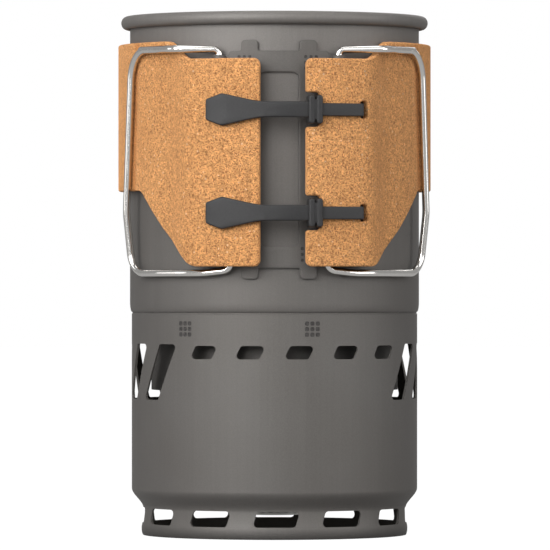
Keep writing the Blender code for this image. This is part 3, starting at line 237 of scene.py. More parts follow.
# Heat exchanger and seat
SCREEN_INNER = SCREEN_RADIUS - SCREEN_WALL
SEAT_OUTER = SCREEN_INNER - SEAT_GAP
SEAT_WALL = 0.0008
SEAT_TOP = SCREEN_HEIGHT - 0.0103
SEAT_SHELF_DEPTH = 0.0050
SEAT_LIP_BELOW_TOP = 0.0017
LIFT_GAP = 0.0007
FIN_BAND_OUTER = SEAT_OUTER - SEAT_WALL - LIFT_GAP
FIN_BAND_WALL = 0.0006
FIN_DEPTH = 0.0118
FIN_THICKNESS = 0.0005
FIN_COUNT = 24
FIN_HEIGHT = 0.0090
FIN_BEND = 0.0007
SKIRT_OUTER = SEAT_OUTER - SEAT_WALL - SEAT_SHELF_DEPTH - LIFT_GAP
SKIRT_LOW = 0.0562

# Burner and gas valve
PLATE_WALL = 0.0008
PLATE_LOW = PLATE_TOP - PLATE_WALL
PLATE_RIM_DROP = 0.0030
PLATE_RIM_WIDTH = 0.0035
# Radius and height of the round bead that stiffens the plate
PLATE_BEAD = (
    (0.0190, 0), (0.0200, 0.0005), (0.0208, 0.0006), (0.0228, 0.0006), (0.0236, 0.0005), (0.0246, 0),
)
# Count, radius and circle of the air holes
PLATE_HOLES = (8, 0.0055, 0.0360)
VALVE_RADIUS = 0.0094
FLANGE_RADIUS = 0.0160
FLANGE_TOP = PLATE_LOW - SEAT_GAP
FLANGE_LOW = FLANGE_TOP - 0.0018
VALVE_LOW = FLANGE_LOW - 0.0030
SPIGOT_RADIUS = 0.0030
SPIGOT_LENGTH = 0.0030
SCREW_CIRCLE = 0.0130
SCREW_COUNT = 3
SCREW_RADIUS = 0.0012
SCREW_HEAD_RADIUS = 0.0024
SCREW_HEAD = 0.0016
SCREW_SOCKET = 0.0011
COLLAR_RADIUS = 0.0110
COLLAR_BORE = 0.0056
COLLAR_LENGTH = 0.0062
THREAD_DEPTH = 0.0003
THREAD_TURNS = 6
SEAL_RADIUS = 0.0009
JET_RADIUS = 0.0034
JET_HEIGHT = 0.0030
JET_SHANK_RADIUS = 0.0017
JET_SHANK = 0.0025
ORIFICE_RADIUS = 0.0004
ORIFICE_DEPTH = 0.0012
MIXER_RADIUS = 0.0058
MIXER_WALL = 0.0008
MIXER_LOW = VALVE_TOP + SEAT_GAP
MIXER_TOP = MIXER_LOW + 0.0190
HEAD_RADIUS = 0.0255
HEAD_WALL = 0.0010
HEAD_BORE = MIXER_RADIUS + SEAT_GAP
HEAD_LOW = MIXER_TOP - 0.0057
HEAD_CONE_LOW = HEAD_LOW + 0.0060
CUP_LOW = HEAD_CONE_LOW + 0.0040
HEAD_TOP = CUP_LOW + 0.0058
GAUZE_TOP = HEAD_TOP - 0.0010
GAUZE_DEPTH = 0.0008
GAUZE_RIM = 0.0012
STRAND_RADIUS = 0.00018

# Gas control at the rear
SPINDLE_Z = PLATE_TOP + 0.0048
SPINDLE_RADIUS = 0.0020
SPINDLE_START = VALVE_RADIUS - 0.0057
NUT_RADIUS = 0.0044
NUT_LENGTH = 0.0038
KNOB_LOW = SCREEN_RADIUS + 0.0010
KNOB_RADIUS = 0.0085
KNOB_LENGTH = 0.0108
KNOB_SOCKET = 0.0060
KNOB_FLUTES = 12
KNOB_EDGE = 0.0010
# Radius and height of the dish in the knob's face
KNOB_DISH = ((0, -0.0005), (0.0040, -0.0005), (0.0046, 0))
FLUTE_RADIUS = 0.0014
POINTER_RADIUS = 0.0005
POINTER_CIRCLE = 0.0062

# Piezo igniter
IGNITER_ANGLE = math.radians(140)
IGNITER_Z = 0.0345
IGNITER_RADIUS = 0.0044
IGNITER_INNER_END = SCREEN_RADIUS - 0.0256
IGNITER_FLANGE_RADIUS = 0.0070
IGNITER_FLANGE = 0.0015
IGNITER_NUT = 0.0037
NUT_NOTCHES = 12
NOTCH_RADIUS = 0.0009
BUTTON_RADIUS = 0.0034
BUTTON_GAP = 0.0004
BUTTON_PROUD = 0.0045
BUTTON_STEM = 0.0040
BUTTON_TRAVEL = 0.0040
ELECTRODE_ANGLE = math.radians(108)
INSULATOR_RADIUS = 0.0018
INSULATOR_HEIGHT = 0.0365
INSULATOR_COLLAR_RADIUS = 0.0030
INSULATOR_COLLAR = 0.0020
ELECTRODE_CIRCLE = HEAD_RADIUS + 0.0016 + INSULATOR_RADIUS
ELECTRODE_RADIUS = 0.0006
ELECTRODE_RISE = 0.0042
ELECTRODE_REACH = 0.0060
LEAD_RADIUS = 0.0009
LEAD_LIFT = 0.0050
LEAD_STRAIGHT = 0.004
LEAD_BEND = 0.0025

# Camera
PHOTO_PIXELS = 550
PIXEL = 0.0003877
CAMERA_DISTANCE = 2.326
CAMERA_HEIGHT = 0.1005
CAMERA_AZIMUTH = math.radians(-1.75)
SENSOR = 36.0

# Floor, surround and lights
FLOOR_SIZE = 12
FLOOR_TONE = 0.22
FLOOR_GLOW = 1.25
FLOOR_SHARE = 0.80
REFLECTED_SHARE = 0.25
SURROUND = 0.16
LIGHTS_AIM = (0, 0, 0.1)
# Each soft light: place, width, height and its share of the key light's power
LIGHTS = (
    ("key", (-0.50, -0.95, 0.60), 0.80, 0.80, 0.9),
    ("left_strip", (-0.86, -0.80, 0.46), 0.30, 0.72, 0.45),
    ("right_strip", (0.95, -0.55, 0.46), 0.26, 0.72, 0.22),
    ("left_sheen", (-0.45, -1.05, 0.32), 0.12, 0.60, 0.10),
    ("left_edge_sheen", (-1.15, -0.20, 0.32), 0.40, 0.60, 0.12),
    ("right_sheen", (1.08, -0.40, 0.32), 0.34, 0.60, 0.15),
    ("fill", (1.3, -2.4, 1.5), 2.4, 2.4, 2.3),
    ("top", (0.0, 0.3, 2.4), 1.6, 1.6, 1.6),
    ("back", (0.4, 2.2, 1.2), 1.4, 1.4, 0.8),
)


def polar(radius, angle, height):
    """The point at an angle from the front, positive towards +X."""
    return Vector((radius * math.sin(angle), -radius * math.cos(angle), height))


def angle_at(x, radius):
    """The angle from the front at which a circle passes x."""
    return math.asin(x / radius)


def turns(count, shift=0.0):
    """Even angles once round, the first one turned by a share of a step."""
    return [FULL_TURN * (index + shift) / count for index in range(count)]


def smoothstep(value):
    """Eases a value from 0 to 1, and holds it there."""
    clamped = min(max(value, 0.0), 1.0)
    return clamped * clamped * (3 - 2 * clamped)


def rounded(corners, steps=8, is_closed=True):
    """The corners (point, radius) as a list of points with each corner turned into an arc."""
    points = []
    count = len(corners)
    for index, (corner, radius) in enumerate(corners):
        corner = Vector(corner)
        if radius == 0 or (not is_closed and index in (0, count - 1)):
            points.append(corner)
            continue
        back = (Vector(corners[index - 1][0]) - corner).normalized()
        ahead = (Vector(corners[(index + 1) % count][0]) - corner).normalized()
        spread = back.angle(ahead)
        centre = corner + (back + ahead).normalized() * (radius / math.sin(spread / 2))
        reach = radius / math.tan(spread / 2)
        first = corner + back * reach - centre
        last = corner + ahead * reach - centre
        turn = math.pi - spread
        for step in range(steps + 1):
            share = step / steps
            arm = first * math.sin((1 - share) * turn) + last * math.sin(share * turn)
            points.append(centre + arm / math.sin(turn))
    return points


def deselect():
    """Goes to object mode with nothing selected."""
    if bpy.context.mode != "OBJECT":
        bpy.ops.object.mode_set(mode="OBJECT")
    bpy.ops.object.select_all(action="DESELECT")


def focus(piece):
    """Makes the piece the only selected object and the active one."""
    deselect()
    piece.select_set(True)
    bpy.context.view_layer.objects.active = piece


def edit(piece):
    """Opens the piece in edit mode with everything selected."""
    focus(piece)
    bpy.ops.object.mode_set(mode="EDIT")
    bpy.ops.mesh.select_mode(type="VERT")
    bpy.ops.mesh.select_all(action="SELECT")


def pick(piece, test):
    """In edit mode, selects the vertices whose place passes the test, with their edges and faces."""
    shape = bmesh.from_edit_mesh(piece.data)
    shape.select_mode = {"VERT"}
    for vertex in shape.verts:
        vertex.select = test(vertex.co)
    shape.select_flush_mode()
    bmesh.update_edit_mesh(piece.data)


def pick_edges(piece, test):
    """In edit mode, selects the edges that pass the test."""
    bpy.ops.mesh.select_mode(type="EDGE")
    bpy.ops.mesh.select_all(action="DESELECT")
    shape = bmesh.from_edit_mesh(piece.data)
    for edge in shape.edges:
        edge.select = test(edge)
    shape.select_flush_mode()
    bmesh.update_edit_mesh(piece.data)


def fix_place():
    """Moves the selected piece's place, turn and scale into its mesh."""
    bpy.ops.object.transform_apply(location=True, rotation=True, scale=True)


def settle_normals(piece):
    """Merges doubled points and turns every face outwards."""
    edit(piece)
    bpy.ops.mesh.remove_doubles(threshold=1e-6)
    bpy.ops.mesh.normals_make_consistent(inside=False)
    bpy.ops.object.mode_set(mode="OBJECT")
    return piece


def turned(name, profile, steps=96):
    """Turns a (radius, height) profile about Z: a circle is extruded from ring to ring."""
    deselect()
    rings = [(radius, height) for radius, height in profile if radius > 1e-9]
    radius, height = rings[0]
    bpy.ops.mesh.primitive_circle_add(vertices=steps, radius=radius, location=(0, 0, height))
    piece = bpy.context.object
    piece.name = name
    fix_place()
    edit(piece)
    for next_radius, next_height in rings[1:]:
        bpy.ops.mesh.extrude_edges_move(
            TRANSFORM_OT_translate={"value": (0, 0, next_height - height)}
        )
        factor = next_radius / radius
        bpy.ops.transform.resize(value=(factor, factor, 1), center_override=(0, 0, 0))
        radius, height = next_radius, next_height

    def on_ring(ring):
        def passes(place):
            return abs(place.z - ring[1]) < 2e-6 and abs(math.hypot(place.x, place.y) - ring[0]) < 2e-6
        return passes

    starts_on_axis = profile[0][0] <= 1e-9
    ends_on_axis = profile[-1][0] <= 1e-9
    for is_there, ring, tip in (
        (starts_on_axis, rings[0], profile[0]),
        (ends_on_axis, rings[-1], profile[-1]),
    ):
        if is_there:
            pick(piece, on_ring(ring))
            bpy.ops.mesh.extrude_edges_move(TRANSFORM_OT_translate={"value": (0, 0, tip[1] - ring[1])})
            bpy.ops.mesh.merge(type="CENTER")
    if not starts_on_axis and not ends_on_axis:
        first, last = on_ring(rings[0]), on_ring(rings[-1])
        pick(piece, lambda place: first(place) or last(place))
        bpy.ops.mesh.bridge_edge_loops()
    bpy.ops.mesh.select_all(action="SELECT")
    bpy.ops.mesh.normals_make_consistent(inside=False)
    bpy.ops.object.mode_set(mode="OBJECT")
    return piece


def curve_piece(name, lines, place=(0, 0, 0), is_closed=True, **settings):
    """The selected mesh of a curve along lines of (x, y, z, share of the thickness), with these settings."""
    deselect()
    curve = bpy.data.curves.new(name, "CURVE")
    for setting, value in settings.items():
        setattr(curve, setting, value)
    for line in lines:
        spline = curve.splines.new("POLY")
        spline.points.add(len(line) - 1)
        for target, (x, y, z, share) in zip(spline.points, line):
            target.co = (x, y, z, 1)
            target.radius = share
        spline.use_cyclic_u = is_closed
    piece = bpy.data.objects.new(name, curve)
    piece.location = place
    bpy.context.scene.collection.objects.link(piece)
    focus(piece)
    bpy.ops.object.convert(target="MESH")
    return bpy.context.object


def flat_curve(name, outlines, thickness, edge, edge_steps=3):
    """A flat plate from closed (x, z) outlines, the outer one first, with its rims rounded.

    Y runs from 0 to the thickness."""
    lines = [[(x, z, 0, 1) for x, z in outline] for outline in outlines]
    plate = curve_piece(
        name, lines, dimensions="2D", fill_mode="BOTH", extrude=thickness / 2 - edge,
        bevel_depth=edge, bevel_resolution=edge_steps, offset=-edge)
    plate.rotation_euler = (math.radians(90), 0, 0)
    plate.location = (0, thickness / 2, 0)
    fix_place()
    return settle_normals(plate)


def sliced(piece, xs, zs=()):
    """Cuts a flat plate across at each x and z, so that it can be bent smoothly."""
    edit(piece)
    for normal, places in (((1, 0, 0), xs), ((0, 0, 1), zs)):
        for place in places:
            bpy.ops.mesh.select_all(action="SELECT")
            at = tuple(place * part for part in normal)
            bpy.ops.mesh.bisect(plane_co=at, plane_no=normal, threshold=1e-7)
    bpy.ops.object.mode_set(mode="OBJECT")
    return piece


def evenly(low, high, step):
    """Even steps between two limits."""
    return [index * step for index in range(math.ceil(low / step), math.floor(high / step) + 1)]


def wrapped(piece, radius_of, scale):
    """Wraps a flat plate round the axis: X becomes the angle, and radius_of turns Y into the radius."""
    for vertex in piece.data.vertices:
        angle = vertex.co.x / scale
        vertex.co = polar(radius_of(angle, vertex.co.y, vertex.co.z), angle, vertex.co.z)
    return settle_normals(piece)


def wire(name, points, radius, sides=8, tapers=False):
    """A round wire along the points, with filled or rounded ends."""
    path = [(Vector(point), 1.0) for point in points]
    if tapers:
        for is_end, near, far in ((False, path[0][0], path[1][0]), (True, path[-1][0], path[-2][0])):
            back = (near - far).normalized() * radius
            tips = [(near - back * (1 - math.sin(a)), math.cos(a)) for a in (0.0, 0.5, 0.9, 1.2, 1.45)]
            path = path[:-1] + tips if is_end else tips[::-1] + path[1:]
    line = [(*point, share) for point, share in path]
    return settle_normals(curve_piece(
        name, [line], is_closed=False, dimensions="3D", bevel_depth=radius,
        bevel_resolution=sides // 2 - 1, use_fill_caps=True))


def joined(pieces):
    """The pieces as one object, which keeps the first one's name."""
    deselect()
    for piece in pieces:
        piece.select_set(True)
    bpy.context.view_layer.objects.active = pieces[0]
    if len(pieces) > 1:
        bpy.ops.object.join()
    return bpy.context.object


def combined(piece, others, operation):
    """A Boolean of the piece with the others, which are used up."""
    other = joined(others)
    modifier = piece.modifiers.new("combine", "BOOLEAN")
    modifier.operation = operation
    modifier.solver = "EXACT"
    modifier.object = other
    focus(piece)
    bpy.ops.object.modifier_apply(modifier=modifier.name)
    bpy.data.objects.remove(other, do_unlink=True)
    return piece


def cut(piece, cutters):
    """Takes the cutters out of the piece."""
    return combined(piece, cutters, "DIFFERENCE")


def twin(piece, matrix):
    """A moved copy of the piece with its own mesh."""
    copied = piece.copy()
    copied.data = piece.data.copy()
    copied.data.transform(matrix)
    bpy.context.scene.collection.objects.link(copied)
    return copied


def round_about(piece, angles):
    """Copies of the piece turned about Z to each angle. The piece itself is used up."""
    made = [twin(piece, Matrix.Rotation(angle, 4, "Z")) for angle in angles]
    bpy.data.objects.remove(piece, do_unlink=True)
    return made


def drum(name, radius, low, high, steps=32, at=(0, 0), edge=0.0):
    """An upright cylinder, with bevelled rims if an edge is given."""
    deselect()
    bpy.ops.mesh.primitive_cylinder_add(
        vertices=steps, radius=radius, depth=high - low, location=(at[0], at[1], (low + high) / 2)
    )
    piece = bpy.context.object
    piece.name = name
    fix_place()
    if edge:
        edit(piece)

        def on_rim(line):
            ends = [vertex.co.z for vertex in line.verts]
            return any(abs(ends[0] - z) + abs(ends[1] - z) < 1e-6 for z in (low, high))

        pick_edges(piece, on_rim)
        bpy.ops.mesh.bevel(offset=edge, segments=3)
        bpy.ops.object.mode_set(mode="OBJECT")
    return piece


def outwards(piece, angle, height):
    """Lays a piece turned about Z so that its +Z points outwards at an angle from the front."""
    matrix = Matrix.Translation((0, 0, height)) @ Matrix.Rotation(angle, 4, "Z")
    piece.data.transform(matrix @ Matrix.Rotation(math.radians(90), 4, "X"))
    return piece


def settled(piece, finish, body, slot, *nodes, smooth=35):
    """Gives a finished piece its look and its body, in place of the CAD nodes that it stands for."""
    focus(piece)
    bpy.ops.object.shade_smooth_by_angle(angle=math.radians(smooth))
    piece.data.materials.clear()
    piece.data.materials.append(finish)
    if nodes:
        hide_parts(*nodes)
    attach(piece, body)
    return piece


class StoveFinishes(bpy.types.PropertyGroup):
    """The colours of the stove's finishes."""

    anodised: bpy.props.FloatVectorProperty(
        name="Anodised", description="Hard-anodised aluminium of the pot and windscreen",
        subtype="COLOR", size=3, min=0, max=1, default=(0.245, 0.231, 0.218))
    cork: bpy.props.FloatVectorProperty(
        name="Cork", description="Middle tone of the cork sleeve",
        subtype="COLOR", size=3, min=0, max=1, default=(0.760, 0.384, 0.145))
    silicone: bpy.props.FloatVectorProperty(
        name="Silicone", description="Straps, seal and igniter button",
        subtype="COLOR", size=3, min=0, max=1, default=(0.0200, 0.0196, 0.0202))
    wire: bpy.props.FloatVectorProperty(
        name="Wire", description="Polished stainless wire of the handles",
        subtype="COLOR", size=3, min=0, max=1, default=(0.76, 0.74, 0.71))
    steel: bpy.props.FloatVectorProperty(
        name="Steel", description="Sheet and turned steel of the burner",
        subtype="COLOR", size=3, min=0, max=1, default=(0.56, 0.55, 0.53))
    brass: bpy.props.FloatVectorProperty(
        name="Brass", description="Valve, jet and gland nut",
        subtype="COLOR", size=3, min=0, max=1, default=(0.66, 0.47, 0.20))


class StoveSizes(bpy.types.PropertyGroup):
    """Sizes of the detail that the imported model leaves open."""

    weld_dot: bpy.props.FloatProperty(
        name="Weld dot", description="Width of one spot weld's print", unit="LENGTH", default=WELD_DOT)
    groove_depth: bpy.props.FloatProperty(
        name="Wire groove", description="Depth of the groove in the cork beside each handle",
        unit="LENGTH", default=GROOVE_DEPTH)
    gauze_pitch: bpy.props.FloatProperty(
        name="Gauze pitch", description="Distance between wires of the burner's gauze",
        unit="LENGTH", default=0.0013)
    key_power: bpy.props.FloatProperty(
        name="Key light", description="Power of the soft light from the left front",
        subtype="POWER", default=12.0)


def new_finish(name, metallic, roughness, specular=0.5):
    """A Principled material with its node tree and shader."""
    material = bpy.data.materials.new(name)
    material.use_nodes = True
    tree = material.node_tree
    shader = tree.nodes["Principled BSDF"]
    shader.inputs["Metallic"].default_value = metallic
    shader.inputs["Roughness"].default_value = roughness
    shader.inputs["Specular IOR Level"].default_value = specular
    return material, tree, shader


def coat(tree, shader, base, rough=None):
    """Links a colour, and a roughness if there is one, to the shader."""
    tree.links.new(base, shader.inputs["Base Color"])
    if rough:
        tree.links.new(rough, shader.inputs["Roughness"])


def texture(tree, kind, scale, stretch=(1, 1, 1), **sockets):
    """A texture on object coordinates, stretched along the axes."""
    place = tree.nodes.get("Texture Coordinate") or tree.nodes.new("ShaderNodeTexCoord")
    mapping = tree.nodes.new("ShaderNodeMapping")
    mapping.inputs["Scale"].default_value = stretch
    made = tree.nodes.new(kind)
    made.inputs["Scale"].default_value = scale
    for socket, value in sockets.items():
        made.inputs[socket].default_value = value
    tree.links.new(place.outputs["Object"], mapping.inputs["Vector"])
    tree.links.new(mapping.outputs["Vector"], made.inputs["Vector"])
    return made


def noise(tree, scale, stretch=(1, 1, 1), detail=3.0, roughness=0.55):
    """A noise texture's output."""
    made = texture(tree, "ShaderNodeTexNoise", scale, stretch, Detail=detail, Roughness=roughness)
    return made.outputs["Fac"]


def ranged(tree, source, low, high, to_low=0.0, to_high=1.0):
    """An output mapped from one range to another, and held there."""
    made = tree.nodes.new("ShaderNodeMapRange")
    tree.links.new(source, made.inputs["Value"])
    for socket, value in (("From Min", low), ("From Max", high), ("To Min", to_low), ("To Max", to_high)):
        made.inputs[socket].default_value = value
    return made.outputs["Result"]


def maths(tree, operation, first, second):
    """A Math node on two outputs or numbers."""
    made = tree.nodes.new("ShaderNodeMath")
    made.operation = operation
    for index, value in enumerate((first, second)):
        if isinstance(value, (int, float)):
            made.inputs[index].default_value = value
        else:
            tree.links.new(value, made.inputs[index])
    return made.outputs["Value"]


def mixed(tree, factor, first, second, blend="MIX"):
    """A colour mix of two colours or outputs."""
    made = tree.nodes.new("ShaderNodeMix")
    made.data_type = "RGBA"
    made.blend_type = blend
    for index, value in ((0, factor), (6, first), (7, second)):
        if isinstance(value, (int, float)):
            made.inputs[index].default_value = value
        elif isinstance(value, bpy.types.NodeSocket):
            tree.links.new(value, made.inputs[index])
        else:
            made.inputs[index].default_value = (*value, 1.0)
    return made.outputs[2]


def multiplied(tree, first, second):
    """A colour multiplied by a colour or an output."""
    return mixed(tree, 1.0, first, second, "MULTIPLY")


def shade(colour, factor):
    """A lighter or darker colour."""
    return tuple(min(part * factor, 1.0) for part in colour)


def bumped(tree, shader, height, distance, strength):
    """Gives the shader a relief from a height."""
    made = tree.nodes.new("ShaderNodeBump")
    made.inputs["Strength"].default_value = strength
    made.inputs["Distance"].default_value = distance
    tree.links.new(height, made.inputs["Height"])
    tree.links.new(made.outputs["Normal"], shader.inputs["Normal"])


def anodised(name, tone=0.73, shade_inside_radius=0.0, painted_shade_below=False):
    """Hard-anodised aluminium: upright draw marks, cloudy tone and satin grain; if asked, painted shade
    darker towards the bottom, and painted shade inside a radius and near the foot.
    """
    metallic = 0.45
    colour = shade(bpy.context.scene.stove_finishes.anodised, tone)
    material, tree, shader = new_finish(name, metallic, roughness=0.42, specular=0.3)
    streaks = ranged(tree, noise(tree, 1.0, (620, 620, 9)), 0.3, 0.7)
    clouds = ranged(tree, noise(tree, 24.0, detail=2.0), 0.35, 0.65)
    grain = noise(tree, 2400.0, detail=2.0)
    base = mixed(tree, streaks, shade(colour, 0.95), shade(colour, 1.05))
    base = mixed(tree, clouds, base, multiplied(tree, base, (0.94, 0.93, 0.92)))
    base = multiplied(tree, base, ranged(tree, grain, 0.35, 0.65, 0.90, 1.0))
    rough = ranged(tree, streaks, 0, 1, 0.56, 0.64)
    place = tree.nodes.new("ShaderNodeSeparateXYZ")
    tree.links.new(tree.nodes["Texture Coordinate"].outputs["Object"], place.inputs["Vector"])
    across, deep, height = (place.outputs[axis] for axis in "XYZ")
    # Painted shade: the colour grows darker towards the pot's bottom.
    if painted_shade_below:
        base = multiplied(tree, base, ranged(tree, height, POT_BASE, 0.95 * POT_TOP, 0.76, 0.99))
    if shade_inside_radius:
        # Painted shade: darker towards the foot, where it meets the floor.
        base = multiplied(tree, base, ranged(tree, height, 0.0, FOOT_BEAD_HEIGHT, 0.50, 1.0))
        # Painted shade inside the radius: a dark, matt, non-metallic colour where little light reaches
        # inside the windscreen.
        squares = [maths(tree, "MULTIPLY", side, side) for side in (across, deep)]
        radius = maths(tree, "SQRT", maths(tree, "ADD", *squares), 0)
        shoulder = (NECK_TOP, NECK_TOP + SHOULDER_HEIGHT)
        edge = ranged(tree, height, *shoulder, NECK_RADIUS - SCREEN_WALL, shade_inside_radius)
        soot_and_shade = ranged(tree, maths(tree, "SUBTRACT", radius, edge), 0.0001, 0.0004, 1.0, 0.0)
        base = mixed(tree, soot_and_shade, base, (0.105, 0.098, 0.090))
        rough = maths(tree, "ADD", rough, maths(tree, "MULTIPLY", soot_and_shade, 0.45))
        tree.links.new(ranged(tree, soot_and_shade, 0, 1, metallic, 0.0), shader.inputs["Metallic"])
    coat(tree, shader, base, rough)
    bumped(tree, shader, grain, 0.00003, 0.35)
    return material


@functools.cache
def weld_print():
    """The dark print that a spot weld leaves on the anodising."""
    material, tree, shader = new_finish("weld_print", metallic=0.3, roughness=0.6)
    mottle = ranged(tree, noise(tree, 1500.0, detail=3.0), 0.3, 0.7)
    coat(tree, shader, mixed(tree, mottle, (0.016, 0.014, 0.013), (0.060, 0.055, 0.052)))
    bumped(tree, shader, mottle, 0.00005, 0.6)
    return material


def polished_wire():
    """Polished stainless wire with faint lengthwise polish marks."""
    colour = tuple(bpy.context.scene.stove_finishes.wire)
    material, tree, shader = new_finish("polished_wire", metallic=1.0, roughness=0.12)
    marks = ranged(tree, noise(tree, 1.0, (1600, 1600, 60)), 0.3, 0.7)
    base = mixed(tree, marks, shade(colour, 0.93), colour)
    coat(tree, shader, base, ranged(tree, marks, 0, 1, 0.09, 0.17))
    return material


def cork():
    """Pressed cork: close-packed granules in warm tones, dark bark specks, small pale grains, and painted
    shadow in the groove beside each wire.
    """
    colour = tuple(bpy.context.scene.stove_finishes.cork)
    material, tree, shader = new_finish("cork_granules", metallic=0.0, roughness=0.82, specular=0.3)
    shader.inputs["Sheen Weight"].default_value = 0.9
    shader.inputs["Sheen Tint"].default_value = (1.0, 0.50, 0.22, 1.0)
    cells = texture(tree, "ShaderNodeTexVoronoi", 1150.0)
    split = tree.nodes.new("ShaderNodeSeparateColor")
    tree.links.new(cells.outputs["Color"], split.inputs["Color"])
    base = mixed(tree, split.outputs["Red"], shade(colour, 0.74), shade(colour, 1.20))
    mottle = ranged(tree, noise(tree, 1700.0, detail=3.0), 0.35, 0.65)
    base = mixed(tree, mottle, multiplied(tree, base, (0.76, 0.70, 0.64)), base)
    clouds = ranged(tree, noise(tree, 35.0, detail=2.0), 0.35, 0.65)
    base = mixed(tree, clouds, base, multiplied(tree, base, (0.93, 0.91, 0.88)))
    seams = texture(tree, "ShaderNodeTexVoronoi", 520.0)
    seams.feature = "DISTANCE_TO_EDGE"
    seam = ranged(tree, seams.outputs["Distance"], 0.0, 0.09, 1.0, 0.0)
    base = mixed(tree, maths(tree, "MULTIPLY", seam, 0.30), base, shade(colour, 0.45))
    bark = texture(tree, "ShaderNodeTexVoronoi", 760.0)
    bark_split = tree.nodes.new("ShaderNodeSeparateColor")
    tree.links.new(bark.outputs["Color"], bark_split.inputs["Color"])
    is_bark = ranged(tree, bark_split.outputs["Green"], 0.84, 0.88)
    speck = maths(tree, "MULTIPLY", is_bark, ranged(tree, bark.outputs["Distance"], 0.25, 0.42, 1.0, 0.0))
    base = mixed(tree, maths(tree, "MULTIPLY", speck, 0.75), base, (0.16, 0.070, 0.026))
    is_pale = ranged(tree, bark_split.outputs["Blue"], 0.90, 0.93)
    grain = maths(tree, "MULTIPLY", is_pale, ranged(tree, bark.outputs["Distance"], 0.20, 0.38, 1.0, 0.0))
    base = mixed(tree, maths(tree, "MULTIPLY", grain, 0.55), base, (0.86, 0.62, 0.40))
    fleck = ranged(tree, noise(tree, 1950.0, detail=2.0, roughness=0.5), 0.54, 0.61)
    base = mixed(tree, maths(tree, "MULTIPLY", fleck, 0.95), base, (0.25, 0.095, 0.032))
    chip = ranged(tree, noise(tree, 1500.0, (1, 1, 1.3), detail=1.0), 0.64, 0.70)
    base = mixed(tree, maths(tree, "MULTIPLY", chip, 0.70), base, (0.14, 0.058, 0.024))
    # Painted shadow of the wire: the cork is darker in the groove beside each handle.
    wire_shade = tree.nodes.new("ShaderNodeAttribute")
    wire_shade.attribute_name = "groove"
    base = mixed(tree, wire_shade.outputs["Fac"], base, multiplied(tree, base, (0.72, 0.56, 0.40)))
    coat(tree, shader, base)
    height = maths(tree, "SUBTRACT", mottle, maths(tree, "MULTIPLY", seam, 0.8))
    height = maths(tree, "SUBTRACT", height, maths(tree, "MULTIPLY", speck, 1.2))
    bumped(tree, shader, height, 0.00016, 0.7)
    return material


@functools.cache
def silicone():
    """Matt moulded silicone with a fine skin and a little dust."""
    colour = tuple(bpy.context.scene.stove_finishes.silicone)
    material, tree, shader = new_finish("silicone", metallic=0.0, roughness=0.55, specular=0.35)
    skin = noise(tree, 1400.0, detail=3.0)
    dust = ranged(tree, noise(tree, 90.0, detail=4.0), 0.45, 0.75)
    base = mixed(tree, ranged(tree, skin, 0.3, 0.7), shade(colour, 0.88), shade(colour, 1.12))
    base = mixed(tree, maths(tree, "MULTIPLY", dust, 0.25), base, shade(colour, 1.9))
    coat(tree, shader, base, ranged(tree, dust, 0, 1, 0.50, 0.66))
    bumped(tree, shader, skin, 0.00004, 0.5)
    return material


def sheet_steel(name, tone=1.0, tint=(1, 1, 1), roughness=0.3):
    """Turned or pressed steel with fine rings and a cloudy tone."""
    steel = bpy.context.scene.stove_finishes.steel
    colour = tuple(part * tone * lean for part, lean in zip(steel, tint))
    material, tree, shader = new_finish(name, metallic=1.0, roughness=roughness)
    rings = texture(tree, "ShaderNodeTexWave", 260.0)
    rings.wave_type = "RINGS"
    rings.rings_direction = "Z"
    rings.inputs["Distortion"].default_value = 1.5
    rings.inputs["Detail"].default_value = 3.0
    clouds = ranged(tree, noise(tree, 60.0, detail=4.0), 0.3, 0.7)
    base = mixed(tree, rings.outputs["Fac"], shade(colour, 0.94), shade(colour, 1.04))
    base = mixed(tree, clouds, multiplied(tree, base, (0.90, 0.88, 0.85)), base)
    coat(tree, shader, base, ranged(tree, clouds, 0, 1, roughness - 0.05, roughness + 0.08))
    bumped(tree, shader, rings.outputs["Fac"], 0.00001, 0.3)
    return material


@functools.cache
def steel():
    """The steel of the seat, the plate, the screws and the turned pieces."""
    return sheet_steel("burner_steel")


@functools.cache
def heated_steel():
    """Steel that the flame has tinted."""
    return sheet_steel("heat_tinted", 0.8, (1.0, 0.92, 0.82), 0.34)


@functools.cache
def turned_brass():
    """Turned brass, a little dulled in the hollows."""
    colour = tuple(bpy.context.scene.stove_finishes.brass)
    material, tree, shader = new_finish("turned_brass", metallic=1.0, roughness=0.28)
    dull = ranged(tree, noise(tree, 240.0, detail=4.0), 0.35, 0.7)
    lines = ranged(tree, noise(tree, 1.0, (40, 40, 2200)), 0.3, 0.7)
    base = mixed(tree, lines, shade(colour, 0.92), shade(colour, 1.06))
    base = mixed(tree, maths(tree, "MULTIPLY", dull, 0.35), base, (0.34, 0.21, 0.09))
    coat(tree, shader, base, ranged(tree, dull, 0, 1, 0.22, 0.40))
    return material


@functools.cache
def moulded_plastic():
    """Black moulded plastic with a spark-eroded texture."""
    colour = (0.028, 0.028, 0.029)
    material, tree, shader = new_finish("moulded_plastic", metallic=0.0, roughness=0.45)
    skin = noise(tree, 1800.0, detail=2.0)
    base = mixed(tree, ranged(tree, skin, 0.3, 0.7), shade(colour, 0.8), shade(colour, 1.25))
    coat(tree, shader, base, ranged(tree, skin, 0.3, 0.7, 0.38, 0.56))
    bumped(tree, shader, skin, 0.00005, 0.6)
    return material


def glazed_ceramic():
    """Off-white glazed ceramic with faint soot."""
    material, tree, shader = new_finish("glazed_ceramic", metallic=0.0, roughness=0.3)
    soot_and_shade = ranged(tree, noise(tree, 300.0, (1, 1, 0.4), detail=4.0), 0.5, 0.8)
    base = mixed(tree, soot_and_shade, (0.80, 0.77, 0.70), (0.58, 0.54, 0.48))
    coat(tree, shader, base, ranged(tree, soot_and_shade, 0, 1, 0.22, 0.45))
    return material


